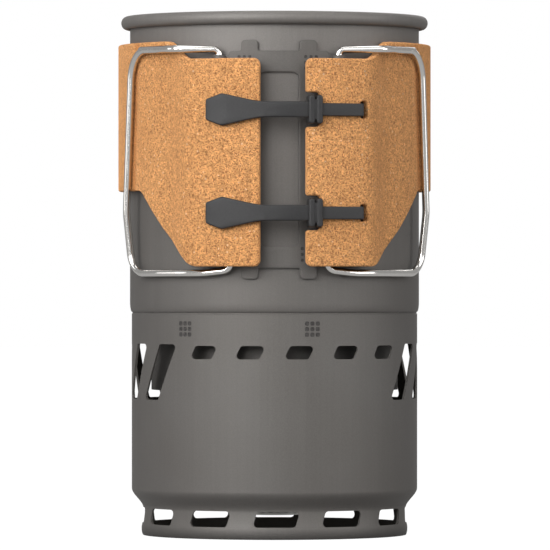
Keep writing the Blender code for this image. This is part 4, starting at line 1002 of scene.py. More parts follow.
def pot():
    """The deep-drawn pot: rounded bottom edge, straight wall and a rim rolled outwards."""
    inner = POT_RADIUS - POT_WALL
    bead_radius = inner + RIM_WIDTH / 2
    bead_height = POT_TOP - RIM_HEIGHT / 2
    low = POT_BASE + POT_BOTTOM_RADIUS
    floor = POT_BASE + POT_FLOOR
    profile = [(0, POT_BASE), (0.5 * POT_RADIUS, POT_BASE)]
    for step in range(10):
        angle = math.radians(90 - 10 * step)
        drawn = POT_DRAW_IN * (1 - math.cos(angle))
        profile.append((POT_RADIUS - drawn, low - POT_BOTTOM_RADIUS * math.sin(angle)))
    steps = 36
    for step in range(steps + 1):
        angle = math.radians(-RIM_MEETS_WALL + (180 + RIM_MEETS_WALL) * step / steps)
        across = bead_radius + RIM_WIDTH / 2 * math.cos(angle)
        profile.append((across, bead_height + RIM_HEIGHT / 2 * math.sin(angle)))
    for step in range(10):
        angle = math.radians(10 * step)
        reach = POT_BOTTOM_RADIUS * (1 - math.cos(angle))
        profile.append((inner - reach, floor + POT_BOTTOM_RADIUS * (1 - math.sin(angle))))
    profile += [(0.5 * POT_RADIUS, floor), (0, floor)]
    # The pot's finish has painted shade, darker towards its bottom.
    finish = anodised("pot_anodised_shaded", painted_shade_below=True)
    settled(turned("pot_shell", profile, 144), finish, "pot", "anodised", "pot_body")


def shoulder_radius(height):
    """The windscreen's outer radius at a height of its shoulder."""
    return NECK_RADIUS + (SCREEN_RADIUS - NECK_RADIUS) * smoothstep((height - NECK_TOP) / SHOULDER_HEIGHT)


def screen_profile():
    """The windscreen's wall: lip, straight body, shoulder, neck and the rolled foot."""
    inner = SCREEN_RADIUS - SCREEN_WALL
    outside = [(SCREEN_RADIUS - SCREEN_LIP, SCREEN_HEIGHT), (SCREEN_RADIUS, SCREEN_HEIGHT - SCREEN_LIP)]
    shoulder = []
    for step in range(15):
        height = NECK_TOP + SHOULDER_HEIGHT * (1 - step / 14)
        shoulder.append((shoulder_radius(height), height))
    foot = []
    for step in range(1, 12):
        share = step / 12
        bulge = math.sqrt(1 - (2 * share - 1) ** 2)
        foot.append((NECK_RADIUS + FOOT_BEAD * bulge, FOOT_BEAD_HEIGHT * (1 - share)))
    foot.append((NECK_RADIUS + 0.3 * FOOT_BEAD, 0))
    inside = [(NECK_RADIUS - SCREEN_WALL, 0), (NECK_RADIUS - SCREEN_WALL, NECK_TOP)]
    inside += [(radius - SCREEN_WALL, height) for radius, height in reversed(shoulder[:-1])]
    top = [(inner, SCREEN_HEIGHT), (inner, SEAM_LIP_TOP), (SCREEN_RADIUS - SCREEN_LIP, SEAM_LIP_TOP)]
    return outside + shoulder + foot + inside + top


def slanted_cutter(width, low, high, shift, corner, radius):
    """A leaning slot with rounded corners, through the wall at the front."""
    half = width / 2
    lean = shift / 2
    depth = 0.25 * radius
    corners = [(-half - lean, low), (half - lean, low), (half + lean, high), (lean - half, high)]
    piece = flat_curve("leaning_slot", [rounded([(place, corner) for place in corners])], depth, 0)
    piece.location.y = -radius - depth / 2
    fix_place()
    return piece


def weld_dot(radius, size):
    """One spot weld's print at the front: a small rounded pad with a dished face."""
    deselect()
    bpy.ops.mesh.primitive_cube_add(size=1, location=(0, -radius, 0))
    dot = bpy.context.object
    dot.scale = (size, 2 * WELD_PROUD, size)
    fix_place()
    edit(dot)

    def runs_inwards(line):
        start, end = (vertex.co for vertex in line.verts)
        return abs(start.x - end.x) + abs(start.z - end.z) < 1e-6

    pick_edges(dot, runs_inwards)
    bpy.ops.mesh.bevel(offset=0.3 * size, segments=3)
    pick(dot, lambda place: place.y < -radius)
    bpy.ops.mesh.inset(thickness=0.14 * size)
    bpy.ops.transform.translate(value=(0, 0.7 * WELD_PROUD, 0))
    bpy.ops.object.mode_set(mode="OBJECT")
    return dot


def weld_grid(radius, size, angles, heights):
    """A grid of weld prints on a round wall."""
    dot = weld_dot(radius, size)
    made = []
    for angle in angles:
        for height in heights:
            made.append(twin(dot, Matrix.Translation((0, 0, height)) @ Matrix.Rotation(angle, 4, "Z")))
    bpy.data.objects.remove(dot, do_unlink=True)
    return made


def windscreen(sizes):
    """The lower shroud: slanted vents, tall side slots, base vents and the control holes."""
    cutters = []
    count, width, low, height, lean, corner = BASE_VENTS
    vent = slanted_cutter(width, low, low + height, lean, corner, NECK_RADIUS)
    cutters += round_about(vent, [BASE_VENT_TURN + turn for turn in turns(count)])
    vents = [index - VENT_COUNT // 2 for index in range(VENT_COUNT)]
    rear_vents = [index - (REAR_VENT_COUNT - 1) / 2 for index in range(REAR_VENT_COUNT)]
    for (width, height), below, front, rear in (
        (VENT_SIZE, VENTS_BELOW_TOP, vents, rear_vents),
        (SLOT_SIZE, SLOTS_BELOW_TOP, SLOT_PLACES, SLOT_PLACES),
    ):
        top = SCREEN_HEIGHT - below
        shift = height * math.tan(VENT_SLANT)
        first = VENT_CENTRE - shift / 2 / SCREEN_RADIUS
        angles = [first + place * VENT_PITCH for place in front]
        angles += [first + math.pi + place * VENT_PITCH for place in rear]
        slot = slanted_cutter(width, top - height, top, shift, VENT_CORNER, SCREEN_RADIUS)
        cutters += round_about(slot, angles)
    cutters.append(outwards(drum("spindle_hole", SPINDLE_HOLE, *CUTTER_REACH), math.pi, SPINDLE_Z))
    cutters.append(outwards(drum("igniter_hole", IGNITER_HOLE, *CUTTER_REACH), IGNITER_ANGLE, IGNITER_Z))
    shell = cut(turned("windscreen_shell", screen_profile(), 144), cutters)
    # The windscreen's lower tone is painted shade; its finish also paints shade inside and near the foot.
    settled(shell, anodised("anodised_shaded_inside", 0.55, SCREEN_INNER), "base", "anodised", "windscreen")
    angles = []
    for degrees in SHROUD_WELD_ANGLES:
        angles += [math.radians(degrees) + column * WELD_PITCH / SCREEN_RADIUS for column in (-1, 0, 1)]
    heights = [SHROUD_WELD_Z + row * WELD_PITCH for row in (-1, 0, 1)]
    marks = joined(weld_grid(SCREEN_RADIUS, SHROUD_WELD_GROWTH * sizes.weld_dot, angles, heights))
    marks.name = "shroud_weld_marks"
    settled(marks, weld_print(), "base", "anodised")


def hinge_point(side, height):
    """The point of a handle's hinge axis at a height. The axis leans outwards towards its top."""
    low = polar(HINGE_RADIUS, side * HINGE_LOW_ANGLE, BRACKET_LOW)
    high = polar(HINGE_RADIUS, side * HINGE_HIGH_ANGLE, BRACKET_HIGH)
    return low.lerp(high, (height - BRACKET_LOW) / (BRACKET_HIGH - BRACKET_LOW))


def hinge_angle(height):
    place = hinge_point(1, height)
    return math.atan2(place.x, -place.y)


def hinge_bracket(sizes):
    """The sheet frame on the pot's front with its tabs, its rolled knuckles and its weld prints."""
    low_bar = BRACKET_LOW + BAR_HEIGHT
    high_bar = BRACKET_HIGH - BAR_HEIGHT
    low_wing = low_bar - WING_HEIGHT
    high_wing = high_bar + HIGH_WING_HEIGHT
    right = [
        ((TAB_INNER, BRACKET_LOW), NOOK_CORNER),
        ((TAB_INNER, BRACKET_LOW - TAB_HEIGHT), TAB_CORNER),
        ((TAB_OUTER, BRACKET_LOW - TAB_HEIGHT), TAB_CORNER),
        ((TAB_OUTER, low_wing), NOOK_CORNER),
        ((BRACKET_OUTER * hinge_angle(low_wing), low_wing), 0),
        ((BRACKET_OUTER * hinge_angle(low_bar), low_bar), 0),
        ((RAIL_OUTER, low_bar), NOOK_CORNER),
        ((RAIL_OUTER, high_bar), RAIL_CORNER),
        ((BRACKET_OUTER * hinge_angle(high_bar), high_bar), 0),
        ((BRACKET_OUTER * hinge_angle(high_wing), high_wing), 0),
        ((EAR_OUTER, high_wing), EAR_CORNER),
        ((EAR_OUTER, BRACKET_HIGH), TAB_CORNER),
        ((TAB_OUTER, BRACKET_HIGH), NOOK_CORNER),
        ((TAB_OUTER, BRACKET_HIGH + TAB_HEIGHT), TAB_CORNER),
        ((TAB_INNER, BRACKET_HIGH + TAB_HEIGHT), TAB_CORNER),
        ((TAB_INNER, BRACKET_HIGH), NOOK_CORNER),
    ]
    left = [((-x, z), radius) for (x, z), radius in reversed(right)]
    window = [(-RAIL_INNER, low_bar), (RAIL_INNER, low_bar), (RAIL_INNER, high_bar), (-RAIL_INNER, high_bar)]
    outlines = [rounded(right + left), rounded([(corner, WINDOW_CORNER) for corner in window])]
    plate = flat_curve("bracket_frame", outlines, BRACKET_WALL, BRACKET_EDGE, 2)
    sliced(plate, evenly(-0.024, 0.024, BRACKET_OUTER * math.radians(2)))
    wrapped(plate, lambda angle, out, z: BRACKET_INNER + out, BRACKET_OUTER)
    knuckles = []
    middle = (KNUCKLE_RADIUS + KNUCKLE_BORE) / 2
    edge = (KNUCKLE_RADIUS - KNUCKLE_BORE) / 2
    for side in (-1, 1):
        for low, high in ((low_wing, low_bar), (high_bar, high_wing)):
            ring = [
                (KNUCKLE_BORE, low + edge), (middle, low), (KNUCKLE_RADIUS, low + edge),
                (KNUCKLE_RADIUS, high - edge), (middle, high), (KNUCKLE_BORE, high - edge),
            ]
            knuckle = turned("knuckle", ring, 32)
            for vertex in knuckle.data.vertices:
                place = hinge_point(side, vertex.co.z)
                vertex.co += Vector((place.x, place.y, 0))
            knuckles.append(knuckle)
    # The bracket's lower tone is painted shade, from the cork flaps over it.
    finish = anodised("anodised_bracket", 0.50)
    settled(joined([plate] + knuckles), finish, "pot", "anodised", "hinge_bracket")
    marks = []
    for side in (-1, 1):
        for centre, pitch, rows in (
            (HIGH_WELD_CENTRE - HIGH_WELD_SHIFT * side, HIGH_WELD_PITCH, HIGH_WELD_ROWS),
            (LOW_WELD_CENTRE, LOW_WELD_PITCH, LOW_WELD_ROWS),
        ):
            angles = [side * angle_at(centre + column * pitch, BRACKET_OUTER) for column in (-1, 0, 1)]
            marks += weld_grid(BRACKET_OUTER, BRACKET_WELD_SHRINK * sizes.weld_dot, angles, rows)
    marks = joined(marks)
    marks.name = "bracket_weld_marks"
    settled(marks, weld_print(), "pot", "anodised")


def handle_route(side):
    """The wire's middle line, from its upper leg round the pot to its lower leg."""
    top_leg = BRACKET_HIGH - BAR_HEIGHT + LEG_INSET
    low_leg = BRACKET_LOW + BAR_HEIGHT - LEG_INSET
    beside_cork = CORK_SIDE_INNER + CORK_SIDE_WALL + SEAT_GAP + WIRE_RADIUS
    low_radius = POT_RADIUS + 2 * WIRE_RADIUS
    over_step = CORK_FLAP_OUTER + WIRE_RADIUS
    bends = [
        (over_step, 37.3, ARM_HIGH, 0.0080),
        (beside_cork + ARM_EASE, 45, ARM_HIGH, 0.0150),
        (beside_cork + ARM_EASE, 54, ARM_HIGH, 0.0200),
        (beside_cork, GRIP_HIGH_ANGLE, ARM_HIGH, 0.0120),
        (beside_cork, GRIP_LOW_ANGLE, ARM_LOW + 0.0230, 0.0300),
        (low_radius + ARM_EASE, GRIP_LOW_ANGLE, ARM_LOW, LOW_CORNER),
        (low_radius, 53, ARM_LOW, 0.0300),
        (low_radius, 38, ARM_LOW, 0.0300),
        (HINGE_RADIUS, 29, ARM_LOW, 0.0300),
    ]
    corners = [(hinge_point(side, top_leg), 0), (hinge_point(side, ARM_HIGH - HIGH_LEG_DROP), LEG_BEND)]
    for radius, degrees, height, bend_radius in bends:
        corners.append((polar(radius, side * math.radians(degrees), height), bend_radius))
    corners.append((hinge_point(side, ARM_LOW + LOW_LEG_LIFT), LOW_LEG_BEND))
    corners.append((hinge_point(side, low_leg), 0))
    return rounded(corners, steps=14, is_closed=False)


def handles():
    """The two wire bails."""
    finish = polished_wire()
    for side, name in ((-1, "left"), (1, "right")):
        bail = wire("bail_" + name, handle_route(side), WIRE_RADIUS, sides=14, tapers=True)
        settled(bail, finish, name + "_handle", "wire", "handle_" + name, smooth=60)


def from_front(angle):
    """The unsigned angle to the front, for an angle that runs once round."""
    wrapped_angle = angle % FULL_TURN
    return min(wrapped_angle, FULL_TURN - wrapped_angle)


def groove_share(angle, height):
    """How deep the cork is pressed in beside the handles, from 0 to 1."""
    rise = (height - ARM_LOW) / (ARM_HIGH - ARM_LOW)
    middle = math.radians(GRIP_LOW_ANGLE + (GRIP_HIGH_ANGLE - GRIP_LOW_ANGLE) * rise) - GROOVE_LEAD
    away = abs(from_front(angle) - middle) / GROOVE_HALF_WIDTH
    return 1 - smoothstep(away) if away < 1 else 0.0


def cork_radius(angle, share):
    """The sleeve's radius: it stands off over the hinges and hugs the pot elsewhere."""
    blend = smoothstep((from_front(angle) - CORK_BLEND_START) / (CORK_BLEND_END - CORK_BLEND_START))
    inner = CORK_FLAP_INNER + (CORK_SIDE_INNER - CORK_FLAP_INNER) * blend
    wall = CORK_FLAP_WALL + (CORK_SIDE_WALL - CORK_FLAP_WALL) * blend
    return inner + wall * share


def strap_heights():
    """The heights of the two straps' middle lines, the upper one first."""
    return STRAP_MIDDLE + STRAP_SPACING / 2, STRAP_MIDDLE - STRAP_SPACING / 2


def cork_slope(shift):
    """The corners of a flap's slanted lower edge, turned round by some degrees."""
    return [((math.radians(angle + shift), FLAP_LOW + lift), radius) for angle, lift, radius in CORK_SLOPE]


def cork_outline(scale):
    """The sleeve unrolled, from the right flap's edge round the back to the left flap's edge."""
    top = [
        ((CORK_STEP_END, FLAP_HIGH + CORK_STEP), CORK_STEP_CORNER),
        ((CORK_STEP_START, FLAP_HIGH), CORK_STEP_CORNER),
    ]
    right = [((CORK_RIGHT_EDGE, FLAP_LOW), CORK_CORNER)] + cork_slope(CORK_SLOPE_SHIFT)
    left = cork_slope(-CORK_SLOPE_SHIFT)[::-1]
    left += [((CORK_LEFT_EDGE, z), CORK_CORNER) for z in (FLAP_LOW, FLAP_HIGH)]
    left = [((FULL_TURN - angle, z), radius) for (angle, z), radius in left + top[::-1]]
    top.append(((CORK_RIGHT_EDGE, FLAP_HIGH), CORK_CORNER))
    notch_end = angle_at(COLLAR_END_X + SEAT_GAP, CORK_FLAP_OUTER)
    for height in strap_heights():
        high = height + NOTCH_HEIGHT / 2
        low = height - NOTCH_HEIGHT / 2
        top += [((CORK_RIGHT_EDGE, high), NOTCH_MOUTH_CORNER), ((notch_end, high), NOTCH_CORNER)]
        top += [((notch_end, low), NOTCH_CORNER), ((CORK_RIGHT_EDGE, low), NOTCH_MOUTH_CORNER)]
    return rounded([((angle * scale, z), radius) for (angle, z), radius in right + left + top])


def circle_outline(x, z, radius, steps=24):
    """The outline of a round hole in a flat plate."""
    return [(x + radius * math.cos(turn), z + radius * math.sin(turn)) for turn in turns(steps)]


def cork_sleeve(sizes):
    """The moulded cork sleeve with its notches, tail slots, peg holes and the groove beside each handle."""
    scale = CORK_FLAP_OUTER
    outlines = [cork_outline(scale)]
    peg_x = (FULL_TURN + angle_at(PEG_X, scale)) * scale
    slot_low = angle_at(SLOT_END_X - STRAP_SLOT_WIDTH, scale) * scale
    slot_high = angle_at(SLOT_END_X, scale) * scale
    for height in strap_heights():
        half = STRAP_SLOT_HEIGHT / 2
        corners = [(slot_low, height - half), (slot_high, height - half)]
        corners += [(slot_high, height + half), (slot_low, height + half)]
        outlines.append(rounded([(corner, 0.45 * STRAP_SLOT_WIDTH) for corner in corners]))
        outlines.append(circle_outline(peg_x, height, PEG_HOLE_RADIUS))
    plate = flat_curve("cork_moulding", outlines, CORK_FLAP_WALL, CORK_EDGE, 4)
    grip = [math.radians(step) for step in range(58, 71)]
    xs = evenly(0, FULL_TURN * scale, math.radians(3) * scale)
    xs += [angle * scale for angle in grip] + [(FULL_TURN - angle) * scale for angle in grip]
    sliced(plate, xs, evenly(0.10, 0.19, 0.006))

    def radius_of(angle, out, z):
        share = out / CORK_FLAP_WALL
        sunk = sizes.groove_depth * groove_share(angle, z) * smoothstep(2 * share - 1)
        return cork_radius(angle, share) - sunk

    wrapped(plate, radius_of, scale)
    # The groove's share, which the cork's finish turns into a painted shadow beside each wire.
    layer = plate.data.attributes.new("groove", "FLOAT", "POINT")
    for vertex, value in zip(plate.data.vertices, layer.data):
        angle = math.atan2(vertex.co.x, -vertex.co.y)
        is_outside = math.hypot(vertex.co.x, vertex.co.y) > cork_radius(angle, 0.5)
        value.value = groove_share(angle, vertex.co.z) if is_outside else 0.0
    settled(plate, cork(), "pot", "cork", "cork_sleeve", smooth=50)


def strap_strip(name, corners, low, high, height, edge):
    """A silicone strip over the flaps: corners from the strap's middle line, between two radii."""
    outline = [((angle_at(x, STRAP_INNER) * STRAP_INNER, height + z), radius) for (x, z), radius in corners]
    strip = flat_curve(name, [rounded(outline)], high - low, edge, 3)
    sliced(strip, evenly(-0.036, 0.036, STRAP_INNER * math.radians(1.5)))
    return wrapped(strip, lambda angle, out, z: low + out, STRAP_INNER)


def mirrored(corners):
    """The corners of an upper edge, followed by the same edge below the middle line."""
    return corners + [((x, -z), radius) for (x, z), radius in reversed(corners)]


def strap(name, height):
    """One silicone strap: pull head with its peg, neck, two-flanged collar and the tail in its slot."""
    half = COLLAR_HEIGHT / 2
    outer = STRAP_INNER + STRAP_WALL
    head = mirrored([
        (HEAD_END, HEAD_CORNER),
        (HEAD_WIDEST, HEAD_CORNER),
        ((NECK_START_X, NECK_HEIGHT / 2), NECK_EASE),
        ((COLLAR_MIDDLE_X - 0.0008, NECK_HEIGHT / 2), 0),
    ])
    band = strap_strip(name, head, STRAP_INNER, outer, height, 0.0006)
    parts = []
    low = STRAP_INNER - COLLAR_DEPTH
    halves = ((COLLAR_START_X, COLLAR_MIDDLE_X - SEAT_GAP), (COLLAR_MIDDLE_X + SEAT_GAP, COLLAR_END_X))
    for ends in halves:
        corners = mirrored([((x, half), COLLAR_CORNER) for x in ends])
        parts.append(strap_strip("flange", corners, low, COLLAR_OUTER, height, COLLAR_EDGE))
    web_ends = (COLLAR_MIDDLE_X - WEB_HALF_WIDTH, COLLAR_MIDDLE_X + WEB_HALF_WIDTH)
    web = mirrored([((x, 0.7 * half), 0) for x in web_ends])
    parts.append(strap_strip("web", web, WEB_OUTER - WEB_WALL, WEB_OUTER, height, 0.0002))
    half = TAIL_HEIGHT / 2
    tail = mirrored([((COLLAR_MIDDLE_X + 0.0008, half), 0), ((TAIL_END_X, half), 0.0005)])
    parts.append(strap_strip("tail", tail, STRAP_INNER, STRAP_INNER + TAIL_WALL, height, 0.0004))
    start = SLOT_END_X - STRAP_SLOT_WIDTH + 0.0001
    hook = mirrored([((x, half), 0.0003) for x in (start, start + HOOK_WALL)])
    high = STRAP_INNER + 0.5 * TAIL_WALL
    parts.append(strap_strip("hook", hook, CORK_FLAP_INNER, high, height, 0.0002))
    peg = drum("peg", PEG_RADIUS, STRAP_INNER - PEG_DEPTH, STRAP_INNER + 0.5 * STRAP_WALL, edge=0.0003)
    parts.append(outwards(peg, angle_at(PEG_X, CORK_FLAP_OUTER), height))
    for part in parts:
        combined(band, [part], "UNION")
    focus(band)
    bpy.ops.object.shade_smooth_by_angle(angle=math.radians(40))
    band.data.materials.clear()
    band.data.materials.append(silicone())
    return band


def straps():
    """Both straps, each made as one piece in place of the strap and its tail."""
    for name, height in zip(("upper", "lower"), strap_heights()):
        band = strap(f"strap_{name}_band", height)
        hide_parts(f"strap_{name}", f"strap_{name}_tail")
        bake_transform(band)


def lipped(inner, outer, low, high, lip=0.0002):
    """The profile of a round wall with eased rims."""
    return [
        (inner, low + lip), (inner + lip, low), (outer - lip, low), (outer, low + lip),
        (outer, high - lip), (outer - lip, high), (inner + lip, high), (inner, high - lip),
    ]


def fins():
    """The folded fins under the pot's floor and the band round them."""
    top = POT_BASE - SEAT_GAP
    crest = FIN_BAND_OUTER - FIN_BAND_WALL - SEAT_GAP - FIN_THICKNESS / 2
    root = crest - FIN_DEPTH
    corners = []
    for fold in range(FIN_COUNT):
        for share, radius in ((0.0, crest), (0.34, crest), (0.5, root), (0.84, root)):
            corners.append((polar(radius, FULL_TURN * (fold + share) / FIN_COUNT, 0), FIN_BEND))
    line = [(point.x, point.y, 0, 1) for point in rounded(corners, 5)]
    piece = curve_piece(
        "folded_fins", [line], (0, 0, top - FIN_HEIGHT / 2),
        dimensions="2D", fill_mode="NONE", extrude=FIN_HEIGHT / 2)
    fix_place()
    modifier = piece.modifiers.new("wall", "SOLIDIFY")
    modifier.thickness = FIN_THICKNESS
    modifier.offset = 0
    bpy.ops.object.modifier_apply(modifier=modifier.name)
    settle_normals(piece)
    settled(piece, heated_steel(), "pot", "steel", "fin_ring")
    ledge = SEAT_TOP + SEAT_GAP
    band_inner = FIN_BAND_OUTER - FIN_BAND_WALL
    skirt_inner = SKIRT_OUTER - FIN_BAND_WALL
    profile = [
        (band_inner, top), (FIN_BAND_OUTER, top), (FIN_BAND_OUTER, ledge), (SKIRT_OUTER, ledge),
        (SKIRT_OUTER, SKIRT_LOW), (skirt_inner, SKIRT_LOW), (skirt_inner, ledge + FIN_BAND_WALL),
        (band_inner, ledge + FIN_BAND_WALL),
    ]
    shroud = turned("fin_shroud", profile, 128)
    settled(shroud, anodised("anodised_band", 0.40), "pot", "anodised", "fin_band")


def seat_ring():
    """The Z-section ring inside the windscreen, on whose shelf the pot stands."""
    low = SEAT_TOP - SEAT_WALL
    top = SCREEN_HEIGHT - SEAT_LIP_BELOW_TOP
    inner = SEAT_OUTER - SEAT_WALL
    shelf = inner - SEAT_SHELF_DEPTH
    lip = 0.0002
    profile = [
        (inner, top - lip), (inner + lip, top), (SEAT_OUTER - lip, top), (SEAT_OUTER, top - lip),
        (SEAT_OUTER, low + 3 * lip), (SEAT_OUTER - lip, low + lip), (SEAT_OUTER - 3 * lip, low),
        (shelf + lip, low), (shelf, low + lip), (shelf, SEAT_TOP - lip), (shelf + lip, SEAT_TOP),
        (inner - 0.0004, SEAT_TOP), (inner - 0.0001, SEAT_TOP + 0.0001), (inner, SEAT_TOP + 0.0004),
    ]
    settled(turned("seat_ring", profile, 128), steel(), "base", "steel", "pot_seat_ring")


def hole_at(radius, x, y, low, high, steps=32):
    """An upright round cutter."""
    return drum("hole", radius, low, high, steps, (x, y))


def plate():
    """The burner bay's floor: pressed ring, drooping rim, air holes and the screws through it."""
    rim = shoulder_radius(PLATE_TOP - PLATE_RIM_DROP - PLATE_WALL) - SCREEN_WALL - SEAT_GAP
    flat = rim - PLATE_RIM_WIDTH
    low = PLATE_TOP - PLATE_RIM_DROP
    profile = [(0, PLATE_TOP)] + [(radius, PLATE_TOP + rise) for radius, rise in PLATE_BEAD]
    profile += [(flat - 0.0004, PLATE_TOP), (flat + 0.0005, PLATE_TOP - 0.0003), (rim, low)]
    profile += [(rim, low - 0.8 * PLATE_WALL), (rim - 0.0003, low - PLATE_WALL)]
    profile.append((flat - 0.0003, PLATE_LOW - 0.0001))
    profile += [(radius, PLATE_LOW + rise) for radius, rise in reversed(PLATE_BEAD)] + [(0, PLATE_LOW)]
    deep = PLATE_LOW - 3 * PAST
    high = PLATE_TOP + 3 * PAST
    count, radius, circle = PLATE_HOLES
    cutters = [hole_at(VALVE_RADIUS + SEAT_GAP, 0, 0, deep, high, 64)]
    cutters += round_about(hole_at(radius, 0, circle, deep, high), turns(count))
    screw_hole = hole_at(SCREW_RADIUS + SEAT_GAP, 0, -SCREW_CIRCLE, deep, high, 20)
    cutters += round_about(screw_hole, turns(SCREW_COUNT))
    spot = polar(ELECTRODE_CIRCLE, ELECTRODE_ANGLE, 0)
    cutters.append(hole_at(INSULATOR_RADIUS + SEAT_GAP, spot.x, spot.y, deep, high, 24))
    settled(cut(turned("pressed_plate", profile, 128), cutters), steel(), "base", "steel", "burner_plate")
    head_low = PLATE_TOP + SEAT_GAP
    head_top = head_low + SCREW_HEAD
    radius = SCREW_HEAD_RADIUS
    head = [(0, head_top), (0.45 * radius, head_top - 0.0001), (0.8 * radius, head_top - 0.0005)]
    head += [(radius, head_top - 0.0010), (radius, head_low + 0.0001), (radius - 0.0001, head_low)]
    head += [(SCREW_RADIUS, head_low), (SCREW_RADIUS, FLANGE_LOW + 0.0002)]
    head += [(SCREW_RADIUS - 0.0002, FLANGE_LOW), (0, FLANGE_LOW)]
    screw = turned("screw", head, 32)
    socket = drum("socket", SCREW_SOCKET, head_top - 0.0009, head_top + PAST, 6)
    cut(screw, [socket])
    screw.data.transform(Matrix.Translation((0, -SCREW_CIRCLE, 0)))
    for number, copied in enumerate(round_about(screw, turns(SCREW_COUNT)), start=1):
        copied.name = f"socket_screw_{number}"
        settled(copied, steel(), "base", "steel", f"plate_screw_{number}")


def valve():
    """The gas valve, the threaded ring for the canister, its seal and the jet."""
    ease = 0.0003
    profile = [
        (0, VALVE_TOP), (VALVE_RADIUS - 0.0012, VALVE_TOP), (VALVE_RADIUS - 0.0004, VALVE_TOP - 0.0004),
        (VALVE_RADIUS, VALVE_TOP - 0.0012), (VALVE_RADIUS, FLANGE_TOP + 0.0001),
        (VALVE_RADIUS + 0.0001, FLANGE_TOP),
        (FLANGE_RADIUS - ease, FLANGE_TOP), (FLANGE_RADIUS, FLANGE_TOP - ease),
        (FLANGE_RADIUS, FLANGE_LOW + ease), (FLANGE_RADIUS - ease, FLANGE_LOW),
        (COLLAR_RADIUS, FLANGE_LOW), (COLLAR_RADIUS, VALVE_LOW + ease), (COLLAR_RADIUS - ease, VALVE_LOW),
        (SPIGOT_RADIUS, VALVE_LOW), (SPIGOT_RADIUS, VALVE_LOW - SPIGOT_LENGTH + ease),
        (SPIGOT_RADIUS - ease, VALVE_LOW - SPIGOT_LENGTH), (0, VALVE_LOW - SPIGOT_LENGTH),
    ]
    reach = (FLANGE_LOW - PAST, FLANGE_TOP + PAST)
    cutters = round_about(hole_at(SCREW_RADIUS + SEAT_GAP, 0, -SCREW_CIRCLE, *reach, 20), turns(SCREW_COUNT))
    floor = VALVE_TOP - JET_SHANK - SEAT_GAP
    cutters.append(hole_at(JET_SHANK_RADIUS + SEAT_GAP, 0, 0, floor, VALVE_TOP + PAST, 24))
    bore = drum("bore", SPINDLE_RADIUS + SEAT_GAP, SPINDLE_START - SEAT_GAP, VALVE_RADIUS + PAST, 24)
    cutters.append(outwards(bore, math.pi, SPINDLE_Z))
    casting = cut(turned("valve_casting", profile, 64), cutters)
    settled(casting, turned_brass(), "base", "brass", "valve_body")
    top = VALVE_LOW - SEAT_GAP
    low = top - COLLAR_LENGTH
    lead = 0.0006
    profile = [
        (COLLAR_BORE, top), (COLLAR_RADIUS, top), (COLLAR_RADIUS, low + lead), (COLLAR_RADIUS - lead, low),
        (COLLAR_BORE + lead, low), (COLLAR_BORE, low + lead),
    ]
    pitch = (COLLAR_LENGTH - 0.0030 - lead) / THREAD_TURNS
    for turn in range(THREAD_TURNS):
        start = low + lead + 0.0002 + turn * pitch
        profile += [(COLLAR_BORE + THREAD_DEPTH, start + 0.45 * pitch), (COLLAR_BORE, start + 0.9 * pitch)]
    settled(turned("threaded_ring", profile, 64), steel(), "base", "steel", "canister_collar")
    centre = (SPIGOT_RADIUS + COLLAR_BORE) / 2
    middle = VALVE_LOW - SEAT_GAP - SEAL_RADIUS
    profile = []
    for step in range(20):
        angle = -FULL_TURN * (step + 0.5) / 20
        profile.append((centre + SEAL_RADIUS * math.cos(angle), middle + SEAL_RADIUS * math.sin(angle)))
    settled(turned("seal_ring", profile, 64), silicone(), "base", "silicone", "canister_seal")
    low = VALVE_TOP + SEAT_GAP
    jet = drum("jet_hexagon", JET_RADIUS, low, low + JET_HEIGHT, 6, edge=0.00025)
    shank = drum("shank", JET_SHANK_RADIUS, VALVE_TOP - JET_SHANK, low + JET_HEIGHT / 2, 24)
    combined(jet, [shank], "UNION")
    high = low + JET_HEIGHT
    cut(jet, [drum("orifice", ORIFICE_RADIUS, high - ORIFICE_DEPTH, high + PAST, 16)])
    settled(jet, turned_brass(), "base", "brass", "gas_jet")


def gauze(pitch):
    """Woven wire gauze in a pressed rim."""
    reach = HEAD_RADIUS - HEAD_WALL - SEAT_GAP
    rim = lipped(reach - GAUZE_RIM, reach, GAUZE_TOP - GAUZE_DEPTH, GAUZE_TOP)
    pieces = [turned("burner_gauze", rim, 96)]
    middle = GAUZE_TOP - GAUZE_DEPTH / 2
    count = int((reach - 0.0014) / pitch)
    for lane in range(-count, count + 1):
        across = lane * pitch
        half = math.sqrt((reach - 0.0008) ** 2 - across ** 2)
        steps = 2 * max(int(half / pitch * 2), 2)
        spots = [-half + 2 * half * step / steps for step in range(steps + 1)]
        sign = 1 if lane % 2 else -1
        for turned_round in (False, True):
            flip = -sign if turned_round else sign
            points = []
            for spot in spots:
                lift = middle + flip * STRAND_RADIUS * math.cos(math.pi * spot / pitch)
                points.append((across, spot, lift) if turned_round else (spot, across, lift))
            pieces.append(wire("strand", points, STRAND_RADIUS, sides=4))
    return joined(pieces)


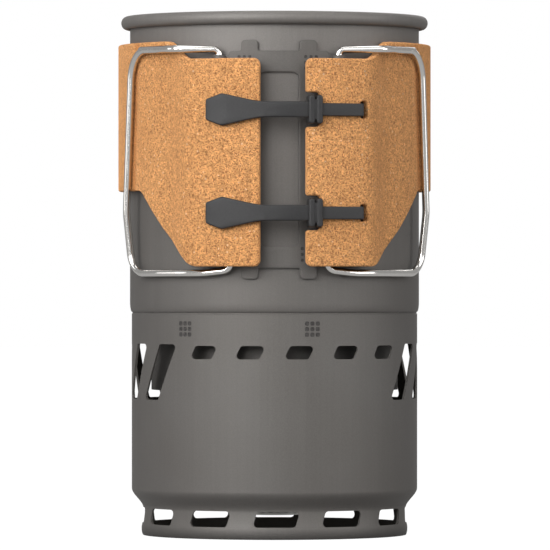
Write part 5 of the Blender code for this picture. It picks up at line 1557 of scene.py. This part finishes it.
def burner(sizes):
    """The mixing tube, the burner cup and its gauze."""
    inner = MIXER_RADIUS - MIXER_WALL
    tube = turned("mixing_tube", lipped(inner, MIXER_RADIUS, MIXER_LOW, MIXER_TOP, 0.00015), 64)
    low = MIXER_LOW + 0.0018
    window = slanted_cutter(0.0040, low, low + 0.0070, 0, 0.0012, MIXER_RADIUS - MIXER_WALL / 2)
    cut(tube, round_about(window, turns(4)))
    settled(tube, steel(), "base", "steel", "mixer_tube")
    sleeve = HEAD_BORE + HEAD_WALL
    inner = HEAD_RADIUS - HEAD_WALL
    profile = [
        (HEAD_BORE, HEAD_CONE_LOW + 0.7 * HEAD_WALL), (HEAD_BORE + 0.0003, HEAD_CONE_LOW + HEAD_WALL),
        (inner - 0.0018, CUP_LOW + HEAD_WALL), (inner - 0.0006, CUP_LOW + HEAD_WALL + 0.0004),
        (inner, CUP_LOW + HEAD_WALL + 0.0016), (inner, HEAD_TOP - 0.0002), (inner + 0.0002, HEAD_TOP),
        (HEAD_RADIUS - 0.0002, HEAD_TOP), (HEAD_RADIUS, HEAD_TOP - 0.0002), (HEAD_RADIUS, CUP_LOW + 0.0018),
        (HEAD_RADIUS - 0.0006, CUP_LOW + 0.0006), (HEAD_RADIUS - 0.0018, CUP_LOW),
        (sleeve + 0.0005, HEAD_CONE_LOW), (sleeve, HEAD_CONE_LOW - 0.0004),
        (sleeve, HEAD_LOW + 0.0002), (sleeve - 0.0002, HEAD_LOW),
        (HEAD_BORE + 0.0001, HEAD_LOW), (HEAD_BORE, HEAD_LOW + 0.0001),
    ]
    settled(turned("burner_cup", profile, 96), heated_steel(), "base", "steel", "burner_head")
    settled(gauze(sizes.gauze_pitch), heated_steel(), "base", "steel", "burner_mesh")


def gas_control():
    """The spindle with its gland nut and the fluted knob behind the windscreen."""
    end = KNOB_LOW + KNOB_SOCKET - SEAT_GAP
    rod = drum("spindle_rod", SPINDLE_RADIUS, SPINDLE_START, end, 32, edge=0.0003)
    settled(outwards(rod, math.pi, SPINDLE_Z), steel(), "knob", "steel", "valve_spindle")
    low = VALVE_RADIUS + SEAT_GAP
    nut = drum("gland_nut", NUT_RADIUS, low, low + NUT_LENGTH, 6, edge=0.0003)
    cut(nut, [drum("bore", SPINDLE_RADIUS + SEAT_GAP, low - PAST, low + NUT_LENGTH + PAST, 24)])
    settled(outwards(nut, math.pi, SPINDLE_Z), turned_brass(), "base", "brass", "spindle_nut")
    high = KNOB_LOW + KNOB_LENGTH
    edge = KNOB_EDGE
    profile = [(radius, high + rise) for radius, rise in KNOB_DISH]
    for angle in (0, 0.4, 0.8, 1.2, 1.57):
        sine, cosine = math.sin(angle), math.cos(angle)
        profile.append((KNOB_RADIUS - edge * (1 - sine), high - edge * (1 - cosine)))
    for angle in (0, 0.5, 1.0, 1.57):
        sine, cosine = math.sin(angle), math.cos(angle)
        profile.append((KNOB_RADIUS - edge * (1 - cosine), KNOB_LOW + edge * (1 - sine)))
    profile.append((0, KNOB_LOW))
    knob = turned("fluted_knob", profile, 96)
    cutters = [drum("socket", SPINDLE_RADIUS + SEAT_GAP, KNOB_LOW - PAST, KNOB_LOW + KNOB_SOCKET, 24)]
    flute = drum("flute", FLUTE_RADIUS, KNOB_LOW + 3 * edge, high + PAST, 20, (0, KNOB_RADIUS + 0.0004))
    cutters += round_about(flute, turns(KNOB_FLUTES, 0.5))
    cut(knob, cutters)
    cut(knob, [drum("pointer", POINTER_RADIUS, high - 0.0003, high + PAST, 16, (0, POINTER_CIRCLE))])
    settled(outwards(knob, math.pi, SPINDLE_Z), moulded_plastic(), "knob", "plastic", "control_knob")


def igniter():
    """The piezo igniter: housing, ring nut, push-button, lead, ceramic insulator and spark wire."""
    flange_low = SCREEN_RADIUS + SEAT_GAP
    flange_high = flange_low + IGNITER_FLANGE
    inner_end = IGNITER_INNER_END
    radius = IGNITER_FLANGE_RADIUS
    profile = [
        (0, flange_high), (radius - 0.0005, flange_high), (radius, flange_high - 0.0005),
        (radius, flange_low), (IGNITER_RADIUS, flange_low), (IGNITER_RADIUS, inner_end + 0.001),
        (IGNITER_RADIUS - 0.001, inner_end), (0, inner_end),
    ]
    button_low = flange_high - BUTTON_STEM
    bore_low = button_low - BUTTON_TRAVEL - SEAT_GAP
    bore = drum("bore", BUTTON_RADIUS + BUTTON_GAP, bore_low, flange_high + PAST, 48)
    housing = outwards(cut(turned("igniter_barrel", profile, 64), [bore]), IGNITER_ANGLE, IGNITER_Z)
    settled(housing, moulded_plastic(), "base", "plastic", "igniter_housing")
    nut_high = math.sqrt(SCREEN_INNER ** 2 - radius ** 2) - SEAT_GAP
    nut_low = nut_high - IGNITER_NUT
    nut = turned("ring_nut", lipped(IGNITER_RADIUS + SEAT_GAP, radius, nut_low, nut_high), 64)
    notch = drum("notch", NOTCH_RADIUS, nut_low - PAST, nut_high + PAST, 16, (0, radius + 0.0003))
    cut(nut, round_about(notch, turns(NUT_NOTCHES)))
    settled(outwards(nut, IGNITER_ANGLE, IGNITER_Z), steel(), "base", "steel", "igniter_nut")
    high = flange_high + BUTTON_PROUD
    profile = [
        (0, high - 0.0003), (0.0018, high - 0.0002), (0.0024, high), (BUTTON_RADIUS - 0.0006, high - 0.0001),
        (BUTTON_RADIUS - 0.0002, high - 0.0004), (BUTTON_RADIUS, high - 0.0010),
        (BUTTON_RADIUS, button_low), (0, button_low),
    ]
    button = outwards(turned("push_button", profile, 48), IGNITER_ANGLE, IGNITER_Z)
    settled(button, silicone(), "button", "silicone", "igniter_button")
    collar_low = PLATE_TOP + SEAT_GAP
    collar_high = collar_low + INSULATOR_COLLAR
    top = collar_low + INSULATOR_HEIGHT
    thin, wide, ease = INSULATOR_RADIUS, INSULATOR_COLLAR_RADIUS, 0.0003
    profile = [
        (0, top), (thin - ease, top), (thin, top - ease), (thin, collar_high), (wide - ease, collar_high),
        (wide, collar_high - ease), (wide, collar_low + ease), (wide - ease, collar_low), (thin, collar_low),
        (thin, collar_low - 0.0020 + ease), (thin - ease, collar_low - 0.0020), (0, collar_low - 0.0020),
    ]
    insulator = turned("insulator_tube", profile, 32)
    insulator.data.transform(Matrix.Translation(polar(ELECTRODE_CIRCLE, ELECTRODE_ANGLE, 0)))
    settled(insulator, glazed_ceramic(), "base", "ceramic", "electrode_insulator")
    wire_low = top + SEAT_GAP
    corners = [
        (polar(ELECTRODE_CIRCLE, ELECTRODE_ANGLE, wire_low), 0),
        (polar(ELECTRODE_CIRCLE, ELECTRODE_ANGLE, wire_low + ELECTRODE_RISE), 0.002),
        (polar(ELECTRODE_CIRCLE - ELECTRODE_REACH, ELECTRODE_ANGLE, wire_low + ELECTRODE_RISE - 0.001), 0),
    ]
    spark = wire("spark_wire", rounded(corners, is_closed=False), ELECTRODE_RADIUS, sides=12)
    settled(spark, steel(), "base", "steel", "electrode_wire", smooth=60)
    lead_z = collar_high + LEAD_LIFT
    landing = polar(ELECTRODE_CIRCLE, ELECTRODE_ANGLE, lead_z)
    bend = inner_end - LEAD_STRAIGHT
    along = (polar(bend, IGNITER_ANGLE, lead_z) - landing).normalized()
    route = [
        (polar(inner_end - SEAT_GAP, IGNITER_ANGLE, IGNITER_Z), 0),
        (polar(bend, IGNITER_ANGLE, IGNITER_Z), LEAD_BEND),
        (polar(bend, IGNITER_ANGLE, lead_z), LEAD_BEND),
        (landing + along * (INSULATOR_RADIUS + SEAT_GAP), 0),
    ]
    lead = wire("spark_lead", rounded(route, is_closed=False), LEAD_RADIUS, sides=14)
    settled(lead, silicone(), "base", "silicone", "igniter_lead", smooth=60)


def sight(tree, direct):
    """A share of what the camera sees directly, or else a share of what is seen in a reflection."""
    rays = tree.nodes.new("ShaderNodeLightPath").outputs
    seen = maths(tree, "MAXIMUM", rays["Is Camera Ray"], rays["Is Transmission Ray"])
    reflected = maths(tree, "MULTIPLY", rays["Is Glossy Ray"], REFLECTED_SHARE)
    return maths(tree, "MAXIMUM", maths(tree, "MULTIPLY", seen, direct), reflected)


def aim(name, data, place, target):
    """Puts a lamp or a camera at a place, looking at the target."""
    holder = bpy.data.objects.new(name, data)
    holder.location = place
    line = Vector(target) - Vector(place)
    holder.rotation_euler = line.to_track_quat("-Z", "Y").to_euler()
    bpy.context.scene.collection.objects.link(holder)
    return holder


def stage(sizes):
    """The pale floor, the white surround, the soft lights and the camera."""
    deselect()
    bpy.ops.mesh.primitive_plane_add(size=FLOOR_SIZE, location=(0, 0, 0))
    floor = bpy.context.object
    floor.name = "floor"
    material = bpy.data.materials.new("floor_white")
    material.use_nodes = True
    tree = material.node_tree
    shader = tree.nodes["Principled BSDF"]
    shader.inputs["Base Color"].default_value = (FLOOR_TONE, FLOOR_TONE, FLOOR_TONE, 1)
    shader.inputs["Roughness"].default_value = 1.0
    shader.inputs["Specular IOR Level"].default_value = 0.0
    glow = tree.nodes.new("ShaderNodeEmission")
    glow.inputs["Strength"].default_value = FLOOR_GLOW
    mix = tree.nodes.new("ShaderNodeMixShader")
    tree.links.new(sight(tree, FLOOR_SHARE), mix.inputs["Fac"])
    tree.links.new(shader.outputs["BSDF"], mix.inputs[1])
    tree.links.new(glow.outputs["Emission"], mix.inputs[2])
    tree.links.new(mix.outputs["Shader"], tree.nodes["Material Output"].inputs["Surface"])
    floor.data.materials.append(material)

    world = bpy.data.worlds.new("white_surround")
    bpy.context.scene.world = world
    world.use_nodes = True
    tree = world.node_tree
    background = tree.nodes["Background"]
    background.inputs["Color"].default_value = (1, 1, 1, 1)
    tree.links.new(ranged(tree, sight(tree, 1.0), 0, 1, SURROUND, 1.0), background.inputs["Strength"])

    for name, place, width, height, share in LIGHTS:
        lamp = bpy.data.lights.new(name, "AREA")
        lamp.shape = "RECTANGLE"
        lamp.size = width
        lamp.size_y = height
        lamp.energy = share * sizes.key_power
        holder = aim(name, lamp, place, LIGHTS_AIM)
        holder.visible_diffuse = not name.endswith("sheen")

    lens = bpy.data.cameras.new("camera")
    lens.sensor_width = SENSOR
    lens.lens = SENSOR * CAMERA_DISTANCE / (PHOTO_PIXELS * PIXEL)
    lens.shift_x = 0.5 / PHOTO_PIXELS
    lens.clip_end = 50
    stand = polar(CAMERA_DISTANCE, CAMERA_AZIMUTH, CAMERA_HEIGHT)
    bpy.context.scene.camera = aim("camera", lens, stand, (0, 0, CAMERA_HEIGHT))
    bpy.context.scene.view_settings.view_transform = "Standard"


class STOVE_OT_pot(bpy.types.Operator):
    """Models the pot"""
    bl_idname = "stove.pot"
    bl_label = "Pot"

    def execute(self, context):
        pot()
        return {"FINISHED"}


class STOVE_OT_windscreen(bpy.types.Operator):
    """Models the vented windscreen and its weld prints"""
    bl_idname = "stove.windscreen"
    bl_label = "Windscreen"

    def execute(self, context):
        windscreen(context.scene.stove_sizes)
        return {"FINISHED"}


class STOVE_OT_hinge_bracket(bpy.types.Operator):
    """Models the bracket that the handles hinge in"""
    bl_idname = "stove.hinge_bracket"
    bl_label = "Hinge bracket"

    def execute(self, context):
        hinge_bracket(context.scene.stove_sizes)
        return {"FINISHED"}


class STOVE_OT_handles(bpy.types.Operator):
    """Models the two wire handles"""
    bl_idname = "stove.handles"
    bl_label = "Wire handles"

    def execute(self, context):
        handles()
        return {"FINISHED"}


class STOVE_OT_cork_sleeve(bpy.types.Operator):
    """Models the moulded cork sleeve"""
    bl_idname = "stove.cork_sleeve"
    bl_label = "Cork sleeve"

    def execute(self, context):
        cork_sleeve(context.scene.stove_sizes)
        return {"FINISHED"}


class STOVE_OT_straps(bpy.types.Operator):
    """Models the two silicone straps"""
    bl_idname = "stove.straps"
    bl_label = "Straps"

    def execute(self, context):
        straps()
        return {"FINISHED"}


class STOVE_OT_heat_exchanger(bpy.types.Operator):
    """Models the folded fins, their band and the ring that carries the pot"""
    bl_idname = "stove.heat_exchanger"
    bl_label = "Heat exchanger"

    def execute(self, context):
        fins()
        seat_ring()
        return {"FINISHED"}


class STOVE_OT_burner_plate(bpy.types.Operator):
    """Models the burner bay's floor and its screws"""
    bl_idname = "stove.burner_plate"
    bl_label = "Burner plate"

    def execute(self, context):
        plate()
        return {"FINISHED"}


class STOVE_OT_valve(bpy.types.Operator):
    """Models the valve, the canister's ring and seal, and the jet"""
    bl_idname = "stove.valve"
    bl_label = "Gas valve"

    def execute(self, context):
        valve()
        return {"FINISHED"}


class STOVE_OT_burner(bpy.types.Operator):
    """Models the mixing tube, the burner cup and its gauze"""
    bl_idname = "stove.burner"
    bl_label = "Burner"

    def execute(self, context):
        burner(context.scene.stove_sizes)
        return {"FINISHED"}


class STOVE_OT_gas_control(bpy.types.Operator):
    """Models the spindle, its nut and the knob"""
    bl_idname = "stove.gas_control"
    bl_label = "Gas control"

    def execute(self, context):
        gas_control()
        return {"FINISHED"}


class STOVE_OT_igniter(bpy.types.Operator):
    """Models the piezo igniter, its lead and its electrode"""
    bl_idname = "stove.igniter"
    bl_label = "Igniter"

    def execute(self, context):
        igniter()
        return {"FINISHED"}


class STOVE_OT_stage(bpy.types.Operator):
    """Sets up the floor, surround, lights and camera"""
    bl_idname = "stove.stage"
    bl_label = "Stage"

    def execute(self, context):
        stage(context.scene.stove_sizes)
        return {"FINISHED"}


PIECE_OPERATORS = (
    STOVE_OT_pot,
    STOVE_OT_windscreen,
    STOVE_OT_hinge_bracket,
    STOVE_OT_handles,
    STOVE_OT_cork_sleeve,
    STOVE_OT_straps,
    STOVE_OT_heat_exchanger,
    STOVE_OT_burner_plate,
    STOVE_OT_valve,
    STOVE_OT_burner,
    STOVE_OT_gas_control,
    STOVE_OT_igniter,
    STOVE_OT_stage,
)


class STOVE_PT_sidebar(bpy.types.Panel):
    """Lists the stove's pieces, sizes and finishes"""
    bl_idname = "STOVE_PT_sidebar"
    bl_label = "Canister stove"
    bl_space_type = "VIEW_3D"
    bl_region_type = "UI"
    bl_category = "Stove"

    def draw(self, context):
        for group in (context.scene.stove_sizes, context.scene.stove_finishes):
            box = self.layout.box()
            for key in group.__annotations__:
                box.prop(group, key)
        for operator in PIECE_OPERATORS:
            self.layout.operator(operator.bl_idname)


CLASSES = (StoveSizes, StoveFinishes, *PIECE_OPERATORS, STOVE_PT_sidebar)


def register():
    for item in CLASSES:
        bpy.utils.register_class(item)
    bpy.types.Scene.stove_sizes = bpy.props.PointerProperty(type=StoveSizes)
    bpy.types.Scene.stove_finishes = bpy.props.PointerProperty(type=StoveFinishes)


def unregister():
    del bpy.types.Scene.stove_finishes
    del bpy.types.Scene.stove_sizes
    for item in reversed(CLASSES):
        bpy.utils.unregister_class(item)


def main():
    """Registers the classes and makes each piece."""
    register()
    bpy.ops.stove.stage()
    bpy.ops.stove.pot()
    bpy.ops.stove.windscreen()
    bpy.ops.stove.hinge_bracket()
    bpy.ops.stove.handles()
    bpy.ops.stove.cork_sleeve()
    bpy.ops.stove.straps()
    bpy.ops.stove.heat_exchanger()
    bpy.ops.stove.burner_plate()
    bpy.ops.stove.valve()
    bpy.ops.stove.burner()
    bpy.ops.stove.gas_control()
    bpy.ops.stove.igniter()
    deselect()


if __name__ == "__main__":
    main()
